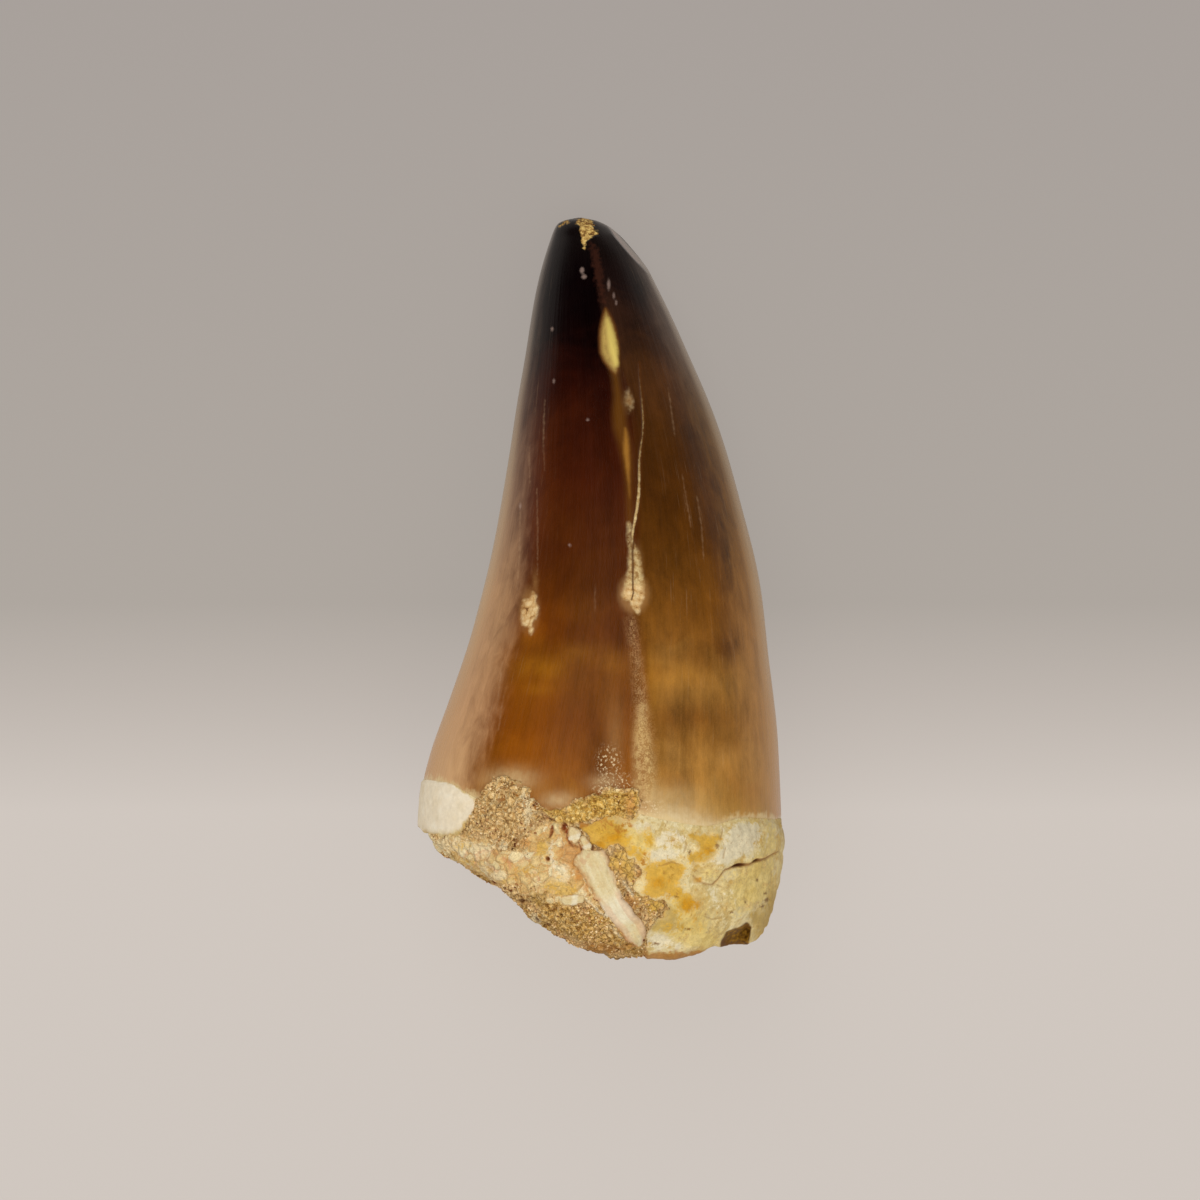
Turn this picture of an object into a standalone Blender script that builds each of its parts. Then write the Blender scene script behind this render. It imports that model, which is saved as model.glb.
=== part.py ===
# Fossil mosasaur tooth, lying on its flatter side: the tip points to +Y, the broken root to -Y,
# and the face that the photograph shows looks up, along +Z.
# The origin is under the middle of the tooth, on the surface that it rests on.
# All sizes below are in millimetres and become metres when a mesh is made.

from math import cos, exp, pi, sin, sqrt

import bmesh
import bpy
from mathutils import Vector, noise

MM = 0.001

# Driving dimensions: the whole fossil
TOOTH_LENGTH = 60.0
TIP_Y = TOOTH_LENGTH / 2
TIP_DROP = 0.15
CLEARANCE = 0.3

# The tooth's left and right edges seen from above, as (y, x)
LEFT_EDGE = [
    (30.0, -1.7), (29.75, -2.9), (29.4, -3.5), (28.2, -4.0), (23.3, -5.25), (16.9, -6.4),
    (10.4, -7.35), (3.9, -8.5), (-2.5, -10.05), (-9.0, -12.2), (-13.9, -13.9), (-17.1, -14.6),
    (-19.5, -14.7), (-30.0, -12.8),
]
RIGHT_EDGE = [
    (30.0, -1.55), (29.78, -0.4), (29.4, 0.5), (28.85, 1.4), (28.4, 2.15), (27.35, 3.0), (26.4, 3.55),
    (24.9, 4.3), (20.1, 6.6), (13.6, 9.3), (7.2, 11.3), (0.7, 12.8), (-5.8, 13.7), (-12.3, 14.4),
    (-21.1, 14.75), (-25.2, 14.2), (-28.0, 13.2),
]
# The upper face's crest and the lower face, as (y, z)
CREST = [
    (30.0, 3.0), (29.6, 4.5), (28.5, 5.6), (23.0, 8.9), (16.0, 12.6), (8.0, 16.4), (-2.0, 20.2),
    (-12.0, 23.0), (-20.0, 24.2), (-30.0, 23.2),
]
UNDERSIDE = [
    (30.0, 2.7), (29.6, 1.2), (28.0, 0.1), (25.0, -0.15), (18.0, 0.1), (6.0, 0.5), (-4.0, 0.3),
    (-11.0, -0.15), (-16.0, -0.2), (-19.0, -0.45), (-24.0, -0.4), (-30.0, 0.8),
]
BELT_SHARE = 0.43
UPPER_ROUNDNESS = 2.1
LOWER_ROUNDNESS = 2.5

# The worn cutting ridge down the upper face: where it runs, as (y, x), and its height, as (y, z)
RIDGE = [(30.0, -0.9), (20.0, 0.8), (14.0, 2.8), (6.0, 2.9), (0.0, 2.6), (-9.0, 3.8), (-18.0, 4.0)]
RIDGE_HEIGHT = [(30.0, 0.0), (25.0, 0.25), (14.0, 0.7), (2.0, 0.8), (-9.0, 0.5), (-19.0, 0.2)]
RIDGE_SPREAD = 2.2

# Where the enamel ends round the tooth, and the broken end of the root, as (x, y)
MARGIN_ABOVE = [
    (-14.2, -15.5), (-11.3, -16.3), (-8.0, -17.6), (-4.0, -18.4), (0.0, -18.2),
    (4.0, -18.7), (8.5, -19.3), (11.7, -18.4), (14.7, -18.6),
]
MARGIN_BELOW = [(-14.2, -15.5), (-7.0, -17.0), (1.0, -15.8), (8.0, -17.6), (14.7, -18.6)]
BREAK_ABOVE = [
    (-14.6, -19.2), (-13.4, -21.0), (-10.2, -23.0), (-7.6, -25.0), (-5.5, -26.9), (-3.2, -28.4),
    (-1.0, -29.4), (1.5, -29.9), (5.4, -30.0), (8.0, -29.5), (9.5, -28.9), (11.5, -28.8),
    (12.6, -28.4), (13.4, -27.3),
]
BREAK_BELOW = [
    (-14.6, -19.2), (-12.0, -21.0), (-7.0, -24.2), (-1.0, -26.6),
    (6.0, -27.4), (11.0, -27.6), (13.4, -27.3),
]
# The root starts this far under the enamel's edge, and steps in by this much, then rolls over to the break
ENAMEL_OVERLAP = 0.3
ENAMEL_STEP = 0.25
ROLL_LENGTH = 4.5
ROLL_KEEP = 0.72

# The hollow root end
HOLLOW_CENTRE = Vector((1.5, -26.0, 11.0))
HOLLOW_DEPTH = 0.65

# Lumps of the root and, larger, of the stone: their depths, and how many to a millimetre
ROOT_LUMPS = 0.25
STONE_LUMPS = 0.6
COARSE_PITCH = 0.3
FINE_PITCH = 0.8
FINE_SHARE = 0.5

# The worn facet on the tip's right shoulder
FACET_POINT = Vector((2.30, 27.50, 2.5))
FACET_NORMAL = Vector((0.74, 0.67, 0.14))

# The stone matrix: its outline from above, how far down it goes, and the pulp hollow that it fills
MATRIX_OUTLINE = [
    (-17.1, -19.9), (-14.0, -19.8), (-12.8, -20.1), (-11.6, -20.1), (-10.5, -18.8), (-10.1, -17.1),
    (-9.1, -15.9), (-7.8, -15.2), (-6.4, -15.9), (-5.5, -17.3), (-4.8, -18.3), (-3.6, -19.0),
    (-2.0, -19.2), (-0.6, -20.3), (1.0, -20.9), (2.4, -20.9), (3.8, -21.8), (3.7, -23.5), (3.4, -24.7),
    (5.4, -25.1), (5.7, -26.3), (4.7, -27.7), (4.0, -29.2), (4.0, -33.0), (-17.1, -33.0),
]
MATRIX_FLOOR_Z = 8.5
MATRIX_TOP_Z = 32.0
MATRIX_FLOOR_WAVES = 3.0
PULP_CENTRE = Vector((1.5, -29.0, 11.5))
PULP_RADII = Vector((7.8, 14.0, 6.2))

# The pieces of bone held in the matrix: middle lines and half widths, as (x, y, half width)
BONE_PATHS = {
    "bone_splinter": [
        (-1.3, -21.4, 0.75), (-0.5, -22.2, 1.25), (0.0, -23.5, 1.18), (0.4, -24.5, 1.12),
        (1.2, -25.7, 1.10), (2.1, -26.9, 1.00), (2.8, -28.0, 0.65), (3.2, -28.9, 0.30),
    ],
    "bone_chip_upper": [
        (-2.35, -19.2, 0.30), (-2.15, -19.8, 0.45), (-1.9, -20.4, 0.45), (-1.75, -20.7, 0.25),
    ],
    "bone_chip_lower": [
        (-3.2, -25.05, 0.30), (-2.8, -25.0, 0.50), (-2.2, -24.95, 0.50), (-1.6, -24.85, 0.30),
    ],
}
BONE_RISE = 0.75
BONE_SINK = 0.9
BONE_EDGE_SHARE = 0.55

# The crack under the loose flake of root, and the hollow nick at the root's lower right corner
CRACK_PATH = [
    (7.9, -23.8, 0.12), (8.9, -24.2, 0.14), (9.6, -23.6, 0.16), (10.4, -23.0, 0.20), (11.3, -22.6, 0.30),
    (12.3, -22.5, 0.28), (12.8, -22.1, 0.28), (13.4, -22.0, 0.16), (14.4, -21.5, 0.12),
]
CRACK_DEPTH = 0.9
CRACK_CUTTER_RISE = 1.5
NICK_CENTRE = (11.0, -28.3)
NICK_RADII = (1.35, 1.15, 2.2)

# Chips out of the enamel: (x, y, half width, half length, depth)
ENAMEL_CHIPS = [
    (2.65, -1.3, 0.95, 1.10, 0.35),
    (-5.5, -2.3, 0.55, 1.60, 0.25),
    (2.25, 14.5, 0.40, 0.95, 0.20),
]

# How finely the faces are cut
AROUND = 60
CROWN_ROWS = 26
ROOT_ROWS = 9
BREAK_ROWS = 6
ROW_CROWDING = 1.35
SETTLING_STEPS = 12
EDGE_LIMIT = 0.999
CUT_TOLERANCE = 1e-5
SHARP_ANGLE = 0.6

# Plain colours, as linear red, green and blue, and how rough each material is
ENAMEL_LOOK = ((0.16, 0.07, 0.03), 0.3)
STONE_LOOK = ((0.48, 0.34, 0.18), 0.95)
BONE_LOOK = ((0.80, 0.68, 0.50), 0.7)


def curve_through(points):
    # A smooth curve through (place, value) points that never swings past them
    points = sorted(points)
    places = [p[0] for p in points]
    values = [p[1] for p in points]
    slopes = [(values[i + 1] - values[i]) / (places[i + 1] - places[i]) for i in range(len(points) - 1)]
    tangents = [slopes[0]]
    for before, after in zip(slopes, slopes[1:]):
        tangents.append(0.0 if before * after <= 0 else 2 * before * after / (before + after))
    tangents.append(slopes[-1])

    def value(place):
        place = min(max(place, places[0]), places[-1])
        i = min(sum(place > p for p in places[1:]), len(slopes) - 1)
        width = places[i + 1] - places[i]
        t = (place - places[i]) / width
        return (
            (1 + 2 * t) * (1 - t) ** 2 * values[i]
            + t * (1 - t) ** 2 * width * tangents[i]
            + t * t * (3 - 2 * t) * values[i + 1]
            + t * t * (t - 1) * width * tangents[i + 1]
        )

    return value


left_edge = curve_through(LEFT_EDGE)
right_edge = curve_through(RIGHT_EDGE)
crest = curve_through(CREST)
underside = curve_through(UNDERSIDE)
ridge_x = curve_through(RIDGE)
ridge_height = curve_through(RIDGE_HEIGHT)
margin_above = curve_through(MARGIN_ABOVE)
margin_below = curve_through(MARGIN_BELOW)
break_above = curve_through(BREAK_ABOVE)
break_below = curve_through(BREAK_BELOW)


def section_point(y, angle):
    # The point of the tooth's cross-section at y: angle 0 is the right edge, a quarter turn the upper face
    left, right, low, high = left_edge(y), right_edge(y), underside(y), crest(y)
    belt = low + BELT_SHARE * (high - low)
    across, up = cos(angle), sin(angle)
    power = 2 / (UPPER_ROUNDNESS if up > 0 else LOWER_ROUNDNESS)
    x = (left + right) / 2 + (right - left) / 2 * abs(across) ** power * (1 if across > 0 else -1)
    if up > 0:
        z = belt + (high - belt) * up**power
        z += ridge_lift(x, y, up)
    else:
        z = belt - (belt - low) * (-up) ** power
    return Vector((x, y, z))


def ridge_lift(x, y, up):
    return ridge_height(y) * up * exp(-abs(x - ridge_x(y)) / RIDGE_SPREAD)


def upper_height(x, y):
    # Height of the upper face above the point (x, y)
    middle = (left_edge(y) + right_edge(y)) / 2
    half = (right_edge(y) - left_edge(y)) / 2
    low, high = underside(y), crest(y)
    belt = low + BELT_SHARE * (high - low)
    share = min(abs(x - middle) / half, EDGE_LIMIT)
    up = (1 - share**UPPER_ROUNDNESS) ** (1 / UPPER_ROUNDNESS)
    reach = y - break_above(x)
    keep = ROLL_KEEP + (1 - ROLL_KEEP) * smooth_roll(reach)
    return belt + (high - belt) * up * keep + ridge_lift(x, y, up)


def smooth_roll(reach):
    # 0 at the broken end and 1 where the surface stops rolling over towards it
    t = min(max(reach / ROLL_LENGTH, 0.0), 1.0)
    return sqrt(1 - (1 - t) ** 2)


def place_along(angle, above, below):
    # The y of a line round the tooth, which is given by x on its upper and on its lower face
    line = above if sin(angle) >= 0 else below
    y = line(0.0)
    for _ in range(SETTLING_STEPS):
        y = line(section_point(y, angle).x)
    return y


def crown_row(step, angle):
    # Rows lie closer together at the tip, where the tooth narrows fastest
    margin = place_along(angle, margin_above, margin_below)
    share = (step / CROWN_ROWS) ** ROW_CROWDING
    return section_point(TIP_Y + (margin - TIP_Y) * share, angle)


def root_row(step, angle):
    margin = place_along(angle, margin_above, margin_below)
    end = place_along(angle, break_above, break_below)
    start = margin - ENAMEL_OVERLAP
    y = start + (end - start) * (step / ROOT_ROWS)
    point = section_point(y, angle)
    middle = Vector(((left_edge(y) + right_edge(y)) / 2, y, HOLLOW_CENTRE.z))
    inwards = (middle - point).normalized() * ENAMEL_STEP
    keep = ROLL_KEEP + (1 - ROLL_KEEP) * smooth_roll(y - end)
    point += inwards
    point.z = HOLLOW_CENTRE.z + (point.z - HOLLOW_CENTRE.z) * keep
    return point


def break_row(step, rim):
    # The broken face dishes in from the rim to the hollow's middle
    share = step / BREAK_ROWS
    point = rim.lerp(HOLLOW_CENTRE, share)
    dished = HOLLOW_CENTRE.y + HOLLOW_DEPTH * sin(share * pi / 2)
    point.y = dished + (rim.y - HOLLOW_CENTRE.y) * (1 - share) ** 2
    return point


def tooth_form(roughness):
    # The whole outer form as one closed bmesh in millimetres, with a smooth crown and a rough root
    bm = bmesh.new()
    angles = [2 * pi * i / AROUND for i in range(AROUND)]
    rows = [[crown_row(step, a) for a in angles] for step in range(1, CROWN_ROWS + 1)]
    root = [[root_row(step, a) for a in angles] for step in range(ROOT_ROWS + 1)]
    root += [[break_row(step, p) for p in root[-1]] for step in range(1, BREAK_ROWS)]
    rows += [[lumpy(p, roughness) for p in row] for row in root]
    rings = [[bm.verts.new(p) for p in row] for row in rows]
    tip = bm.verts.new(((left_edge(TIP_Y) + right_edge(TIP_Y)) / 2, TIP_Y, crest(TIP_Y) - TIP_DROP))
    end = bm.verts.new(break_row(BREAK_ROWS, HOLLOW_CENTRE))
    for i in range(AROUND):
        j = (i + 1) % AROUND
        bm.faces.new((tip, rings[0][i], rings[0][j]))
        for upper, lower in zip(rings, rings[1:]):
            bm.faces.new((upper[i], lower[i], lower[j], upper[j]))
        bm.faces.new((end, rings[-1][j], rings[-1][i]))
    bmesh.ops.recalc_face_normals(bm, faces=bm.faces)
    return bm


def lumpy(point, size):
    # Pushes a point about by a smooth, repeatable noise, least where the root meets the enamel
    near = smooth_roll(margin_above(point.x) - point.y)
    push = noise.noise_vector(point * COARSE_PITCH) + noise.noise_vector(point * FINE_PITCH) * FINE_SHARE
    return point + push * size * near


def slice_off(bm, point, normal):
    # Cuts away what lies beyond a plane, and closes the cut with a flat face
    everything = bm.verts[:] + bm.edges[:] + bm.faces[:]
    bmesh.ops.bisect_plane(
        bm, geom=everything, plane_co=point, plane_no=normal, clear_outer=True, dist=CUT_TOLERANCE
    )
    open_edges = [e for e in bm.edges if e.is_boundary]
    bmesh.ops.holes_fill(bm, edges=open_edges, sides=0)


def make_material(name, colour, roughness):
    material = bpy.data.materials.new(name)
    material.use_nodes = True
    shader = material.node_tree.nodes["Principled BSDF"]
    shader.inputs["Base Color"].default_value = (*colour, 1)
    shader.inputs["Roughness"].default_value = roughness
    shader.inputs["Metallic"].default_value = 0.0
    return material


def make_object(name, bm, material=None):
    # Turns a bmesh in millimetres into an object in metres
    bmesh.ops.triangulate(bm, faces=bm.faces)
    bmesh.ops.scale(bm, verts=bm.verts, vec=(MM, MM, MM))
    bmesh.ops.recalc_face_normals(bm, faces=bm.faces)
    mesh = bpy.data.meshes.new(name)
    bm.to_mesh(mesh)
    bm.free()
    mesh.shade_smooth()
    mesh.set_sharp_from_angle(angle=SHARP_ANGLE)
    thing = bpy.data.objects.new(name, mesh)
    bpy.context.scene.collection.objects.link(thing)
    if material:
        mesh.materials.append(material)
    else:
        thing.hide_render = True
        thing.display_type = "WIRE"
    return thing


def add_boolean(thing, cutter, operation="DIFFERENCE"):
    modifier = thing.modifiers.new(operation.title(), "BOOLEAN")
    modifier.operation = operation
    modifier.solver = "EXACT"
    modifier.object = cutter


def grown_outline(points, grow):
    # Moves each corner of a clockwise outline outwards by about the same distance
    moved = []
    for i, point in enumerate(points):
        before, here, after = Vector(points[i - 1]), Vector(point), Vector(points[(i + 1) % len(points)])
        along = (here - before).normalized() + (after - here).normalized()
        moved.append(here + Vector((-along.y, along.x)).normalized() * grow)
    return moved


def make_matrix_bed(name, grow):
    # The room that the stone matrix takes up in the tooth: a wavy-floored prism and the pulp hollow
    bm = bmesh.new()
    outline = grown_outline(MATRIX_OUTLINE, grow)
    waves = [noise.noise(Vector((x, y, 0)) * COARSE_PITCH) * MATRIX_FLOOR_WAVES for x, y in MATRIX_OUTLINE]
    tops = [bm.verts.new((p.x, p.y, MATRIX_TOP_Z)) for p in outline]
    floor = [bm.verts.new((p.x, p.y, MATRIX_FLOOR_Z - grow + wave)) for p, wave in zip(outline, waves)]
    for i, top in enumerate(tops):
        bm.faces.new((top, tops[i - 1], floor[i - 1], floor[i]))
    bm.faces.new(tops)
    bm.faces.new(floor[::-1])
    prism = make_object(name, bm)

    bm = bmesh.new()
    bmesh.ops.create_icosphere(bm, subdivisions=3, radius=1.0)
    radii = PULP_RADII + Vector((grow, grow, grow))
    for vert in bm.verts:
        vert.co = PULP_CENTRE + Vector(vert.co[k] * radii[k] for k in range(3))
    hollow = make_object(name + "_pulp", bm)
    add_boolean(prism, hollow, "UNION")
    return prism


def make_ribbon(name, path, rise, sink, grow=0.0, material=None):
    # A strip that follows the tooth's upper face, rise above it and sink below it
    bm = bmesh.new()
    first, last = Vector(path[0][:2]), Vector(path[-1][:2])
    start = first + (first - Vector(path[1][:2])).normalized() * grow
    finish = last + (last - Vector(path[-2][:2])).normalized() * grow
    stations = [(start.x, start.y, path[0][2])] + list(path[1:-1]) + [(finish.x, finish.y, path[-1][2])]
    loops = []
    for i, (x, y, half) in enumerate(stations):
        before, after = stations[max(i - 1, 0)], stations[min(i + 1, len(stations) - 1)]
        along = Vector((after[0] - before[0], after[1] - before[1])).normalized()
        side = Vector((-along.y, along.x)) * (half + grow)
        middle = upper_height(x, y)
        a, b = Vector((x, y)) - side, Vector((x, y)) + side
        corners = [
            (a.x, a.y, middle - sink - grow),
            (b.x, b.y, middle - sink - grow),
            (b.x, b.y, upper_height(b.x, b.y) + rise * BONE_EDGE_SHARE + grow),
            (x, y, middle + rise + grow),
            (a.x, a.y, upper_height(a.x, a.y) + rise * BONE_EDGE_SHARE + grow),
        ]
        loops.append([bm.verts.new(c) for c in corners])
    for one, two in zip(loops, loops[1:]):
        for k in range(len(one)):
            following = (k + 1) % len(one)
            bm.faces.new((one[k], one[following], two[following], two[k]))
    bm.faces.new(loops[0][::-1])
    bm.faces.new(loops[-1])
    return make_object(name, bm, material)


def make_dent(name, x, y, radii):
    # An egg-shaped cutter centred on the upper face
    bm = bmesh.new()
    bmesh.ops.create_icosphere(bm, subdivisions=2, radius=1.0)
    centre = Vector((x, y, upper_height(x, y)))
    for vert in bm.verts:
        vert.co = centre + Vector(vert.co[k] * radii[k] for k in range(3))
    return make_object(name, bm)


def build():
    for thing in list(bpy.data.objects):
        bpy.data.objects.remove(thing)

    enamel = make_material("brown_enamel_and_cream_root", *ENAMEL_LOOK)
    stone = make_material("sandy_phosphate_stone", *STONE_LOOK)
    bone = make_material("cream_bone", *BONE_LOOK)

    form = tooth_form(ROOT_LUMPS)
    slice_off(form, (0, 0, 0), (0, 0, -1))
    slice_off(form, FACET_POINT, FACET_NORMAL)
    tooth = make_object("tooth", form, enamel)
    add_boolean(tooth, make_matrix_bed("matrix_bed", 0.0))

    lumps = tooth_form(STONE_LUMPS)
    slice_off(lumps, (0, 0, 0), (0, 0, -1))
    matrix = make_object("stone_matrix", lumps, stone)
    add_boolean(matrix, make_matrix_bed("matrix_room", -CLEARANCE), "INTERSECT")

    for name, path in BONE_PATHS.items():
        make_ribbon(name, path, BONE_RISE, BONE_SINK, material=bone)
        bed = make_ribbon(name + "_bed", path, BONE_RISE * 3, BONE_SINK, grow=CLEARANCE)
        add_boolean(matrix, bed)
        add_boolean(tooth, bed)

    add_boolean(tooth, make_ribbon("crack_cutter", CRACK_PATH, CRACK_CUTTER_RISE, CRACK_DEPTH))
    add_boolean(tooth, make_dent("nick_cutter", *NICK_CENTRE, NICK_RADII))
    for i, (x, y, half_width, half_length, depth) in enumerate(ENAMEL_CHIPS):
        add_boolean(tooth, make_dent(f"enamel_chip_{i}", x, y, (half_width, half_length, depth)))


build()
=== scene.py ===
from math import pi, radians

import bpy
import numpy as np
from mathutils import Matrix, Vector


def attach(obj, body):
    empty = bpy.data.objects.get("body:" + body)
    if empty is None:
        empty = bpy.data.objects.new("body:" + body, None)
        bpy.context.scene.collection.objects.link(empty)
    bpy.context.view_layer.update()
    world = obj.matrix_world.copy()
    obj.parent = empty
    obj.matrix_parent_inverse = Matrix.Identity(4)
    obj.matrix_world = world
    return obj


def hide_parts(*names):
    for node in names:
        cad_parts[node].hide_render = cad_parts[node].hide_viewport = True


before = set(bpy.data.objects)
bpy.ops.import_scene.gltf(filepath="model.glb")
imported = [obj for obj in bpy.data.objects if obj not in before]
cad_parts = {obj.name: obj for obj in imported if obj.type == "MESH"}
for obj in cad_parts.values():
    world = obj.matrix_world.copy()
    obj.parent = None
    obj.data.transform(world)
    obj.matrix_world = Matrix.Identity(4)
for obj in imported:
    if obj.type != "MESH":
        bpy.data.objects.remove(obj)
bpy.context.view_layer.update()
mm = 0.001
print("frame loaded")

# How the photograph was taken: straight down on the tooth as it lies, with a long lens.
# Sizes are in millimetres, and marks on the tooth are given in pixels of the 1200 x 1200 picture.
view = {
    "lens": 300.0,
    "sensor": 36.0,
    "distance": 808.0,
    "focusHeight": 10.0,
    "aimY": -1.28,
    "pixel": 0.0808,
    "middleColumn": 600.0,
    "middleRow": 600.0,
    "baseRow": 588.2,
    "pictureRows": 1200.0,
}
rowShift = (view["baseRow"] - view["middleRow"]) * view["pixel"]

# The tooth's form: edges as (y, x), crest and underside as (y, z), margin and break as (x, y)
toothForm = {
    "leftEdge": [
        (30.0, -1.7), (29.75, -2.9), (29.4, -3.5), (28.2, -4.0), (23.3, -5.25), (16.9, -6.4),
        (10.4, -7.35), (3.9, -8.5), (-2.5, -10.05), (-9.0, -12.2), (-13.9, -13.9), (-17.1, -14.6),
        (-19.5, -14.7), (-30.0, -12.8),
    ],
    "rightEdge": [
        (30.0, -1.55), (29.78, -0.4), (29.4, 0.5), (28.85, 1.4), (28.4, 2.15), (27.35, 3.0),
        (26.4, 3.55), (24.9, 4.3), (20.1, 6.6), (13.6, 9.3), (7.2, 11.3), (0.7, 12.8), (-5.8, 13.7),
        (-12.3, 14.4), (-21.1, 14.75), (-25.2, 14.2), (-28.0, 13.2),
    ],
    "crest": [
        (30.0, 3.0), (29.6, 4.5), (28.5, 5.6), (23.0, 8.9), (16.0, 12.6), (8.0, 16.4), (-2.0, 20.2),
        (-12.0, 23.0), (-20.0, 24.2), (-30.0, 23.2),
    ],
    "underside": [
        (30.0, 2.7), (29.6, 1.2), (28.0, 0.1), (25.0, -0.15), (18.0, 0.1), (6.0, 0.5), (-4.0, 0.3),
        (-11.0, -0.15), (-16.0, -0.2), (-19.0, -0.45), (-24.0, -0.4), (-30.0, 0.8),
    ],
    "ridge": [
        (30.0, -0.9), (20.0, 0.8), (14.0, 2.8), (6.0, 2.9), (0.0, 2.6), (-9.0, 3.8), (-18.0, 4.0),
    ],
    "ridgeHeight": [(30.0, 0.0), (25.0, 0.25), (14.0, 0.7), (2.0, 0.8), (-9.0, 0.5), (-19.0, 0.2)],
    "marginAbove": [
        (-14.2, -15.5), (-12.3, -15.8), (-11.0, -16.5), (-10.0, -17.0), (-8.0, -17.7), (-4.0, -18.2),
        (0.0, -17.4), (3.0, -18.2), (5.5, -18.9), (8.5, -19.3), (11.7, -18.5), (14.7, -18.7),
    ],
    "marginBelow": [(-14.2, -15.5), (-7.0, -17.0), (1.0, -15.8), (8.0, -17.6), (14.7, -18.7)],
    "breakAbove": [
        (-14.6, -19.2), (-13.4, -21.0), (-10.2, -23.0), (-7.6, -25.0), (-5.5, -26.9), (-3.2, -28.4),
        (-1.0, -29.4), (1.5, -29.9), (5.4, -30.0), (8.0, -29.5), (9.5, -28.9), (11.5, -28.8),
        (12.6, -28.4), (13.4, -27.3),
    ],
    "breakBelow": [
        (-14.6, -19.2), (-12.0, -21.0), (-7.0, -24.2), (-1.0, -26.6), (6.0, -27.4), (11.0, -27.6),
        (13.4, -27.3),
    ],
    "beltShare": 0.43,
    "upperRoundness": 2.1,
    "lowerRoundness": 2.5,
    "ridgeSpread": 2.2,
    "enamelStep": 0.05,
    "rollLength": 4.5,
    "rollKeep": 0.72,
    "hollow": (1.5, -26.0, 11.0),
    "hollowDepth": 0.65,
    "breakCrowding": 0.9,
    "facetPoint": (2.30, 27.50, 2.5),
    "facetNormal": (0.74, 0.67, 0.14),
    "tipSeen": 29.99,
    "tipHeight": 3.0,
    "firstMargin": -17.0,
    "firstHeight": 18.0,
    "settlingSteps": 14,
    "farAway": 9.0,
}


def curveThrough(points):
    # a smooth curve through (place, value) points that never swings past them
    places, values = np.array(sorted(points), float).T
    slopes = np.diff(values) / np.diff(places)
    bends = np.zeros(len(places))
    bends[0], bends[-1] = slopes[0], slopes[-1]
    product, total = slopes[:-1] * slopes[1:], slopes[:-1] + slopes[1:]
    turning = product > 0
    bends[1:-1][turning] = 2 * product[turning] / total[turning]

    def value(place):
        place = np.clip(place, places[0], places[-1])
        i = np.clip(np.searchsorted(places, place) - 1, 0, len(slopes) - 1)
        width = places[i + 1] - places[i]
        t = (place - places[i]) / width
        return (
            (1 + 2 * t) * (1 - t) ** 2 * values[i]
            + t * (1 - t) ** 2 * width * bends[i]
            + t * t * (3 - 2 * t) * values[i + 1]
            + t * t * (t - 1) * width * bends[i + 1]
        )

    return value


curves = {name: curveThrough(points) for name, points in toothForm.items() if isinstance(points, list)}


def ease(start, end, value):
    # 0 at start, 1 at end, smooth in between
    t = np.clip((value - start) / (end - start), 0, 1)
    return t * t * (3 - 2 * t)


def spreadAt(height):
    # how much larger a thing at this height shows than one at the focus height
    return view["distance"] / (view["distance"] - (height - view["focusHeight"]))


def seenAcross(points):
    return points[..., 0] * spreadAt(points[..., 2])


def seenAlong(points):
    return (points[..., 1] - view["aimY"]) * spreadAt(points[..., 2]) + rowShift


def photoPlace(points):
    # the column and row of the photograph in which each point shows
    column = view["middleColumn"] + seenAcross(points) / view["pixel"]
    row = view["baseRow"] - seenAlong(points) / view["pixel"]
    return column, row


def underPhoto(line, height, across):
    # the y at which a line drawn in the photograph crosses the tooth
    return view["aimY"] + (line(across * spreadAt(height)) - rowShift) / spreadAt(height)


def sectionEdges(y):
    low, high = curves["underside"](y), curves["crest"](y)
    belt = low + toothForm["beltShare"] * (high - low)
    point = np.stack([y * 0, y, belt], axis=-1)
    along = seenAlong(point)
    left, right = (curves[edge](along) / spreadAt(belt) for edge in ("leftEdge", "rightEdge"))
    return low, high, belt, left, right


def sectionPoint(y, angle):
    # the point of the tooth's cross-section at y: angle 0 is the right edge, a quarter turn the upper face
    low, high, belt, left, right = sectionEdges(y)
    across, up = np.cos(angle), np.sin(angle)
    above = up > 0
    power = np.where(above, 2 / toothForm["upperRoundness"], 2 / toothForm["lowerRoundness"])
    x = (left + right) / 2 + (right - left) / 2 * np.abs(across) ** power * np.sign(across)
    rise = np.abs(up) ** power
    z = np.where(above, belt + (high - belt) * rise, belt - (belt - low) * rise)
    z = z + np.where(above, ridgeLift(x, y, up), 0)
    return np.stack([x, y + 0 * x, z], axis=-1)


def ridgeLift(x, y, up):
    away = np.abs(x - curves["ridge"](y)) / toothForm["ridgeSpread"]
    return curves["ridgeHeight"](y) * up * np.exp(-away)


def rollKeep(reach):
    # how much of its height the root keeps as it rolls over to its broken end
    t = np.clip(reach / toothForm["rollLength"], 0, 1)
    return toothForm["rollKeep"] + (1 - toothForm["rollKeep"]) * np.sqrt(1 - (1 - t) ** 2)


def rollOver(height, keep):
    return toothForm["hollow"][2] + (height - toothForm["hollow"][2]) * keep


def lineRound(angle, above, below, keep=1.0):
    # the y of a line round the tooth, drawn in the photograph for the upper face and in plan for the lower
    y = np.full(angle.shape, toothForm["firstMargin"])
    upper = np.sin(angle) >= 0
    for _ in range(toothForm["settlingSteps"]):
        point = sectionPoint(y, angle)
        height = rollOver(point[:, 2], keep)
        seen = underPhoto(curves[above], height, point[:, 0])
        hidden = underPhoto(curves[below], toothForm["hollow"][2], point[:, 0])
        y = np.where(upper, seen, hidden)
    return y


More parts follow.
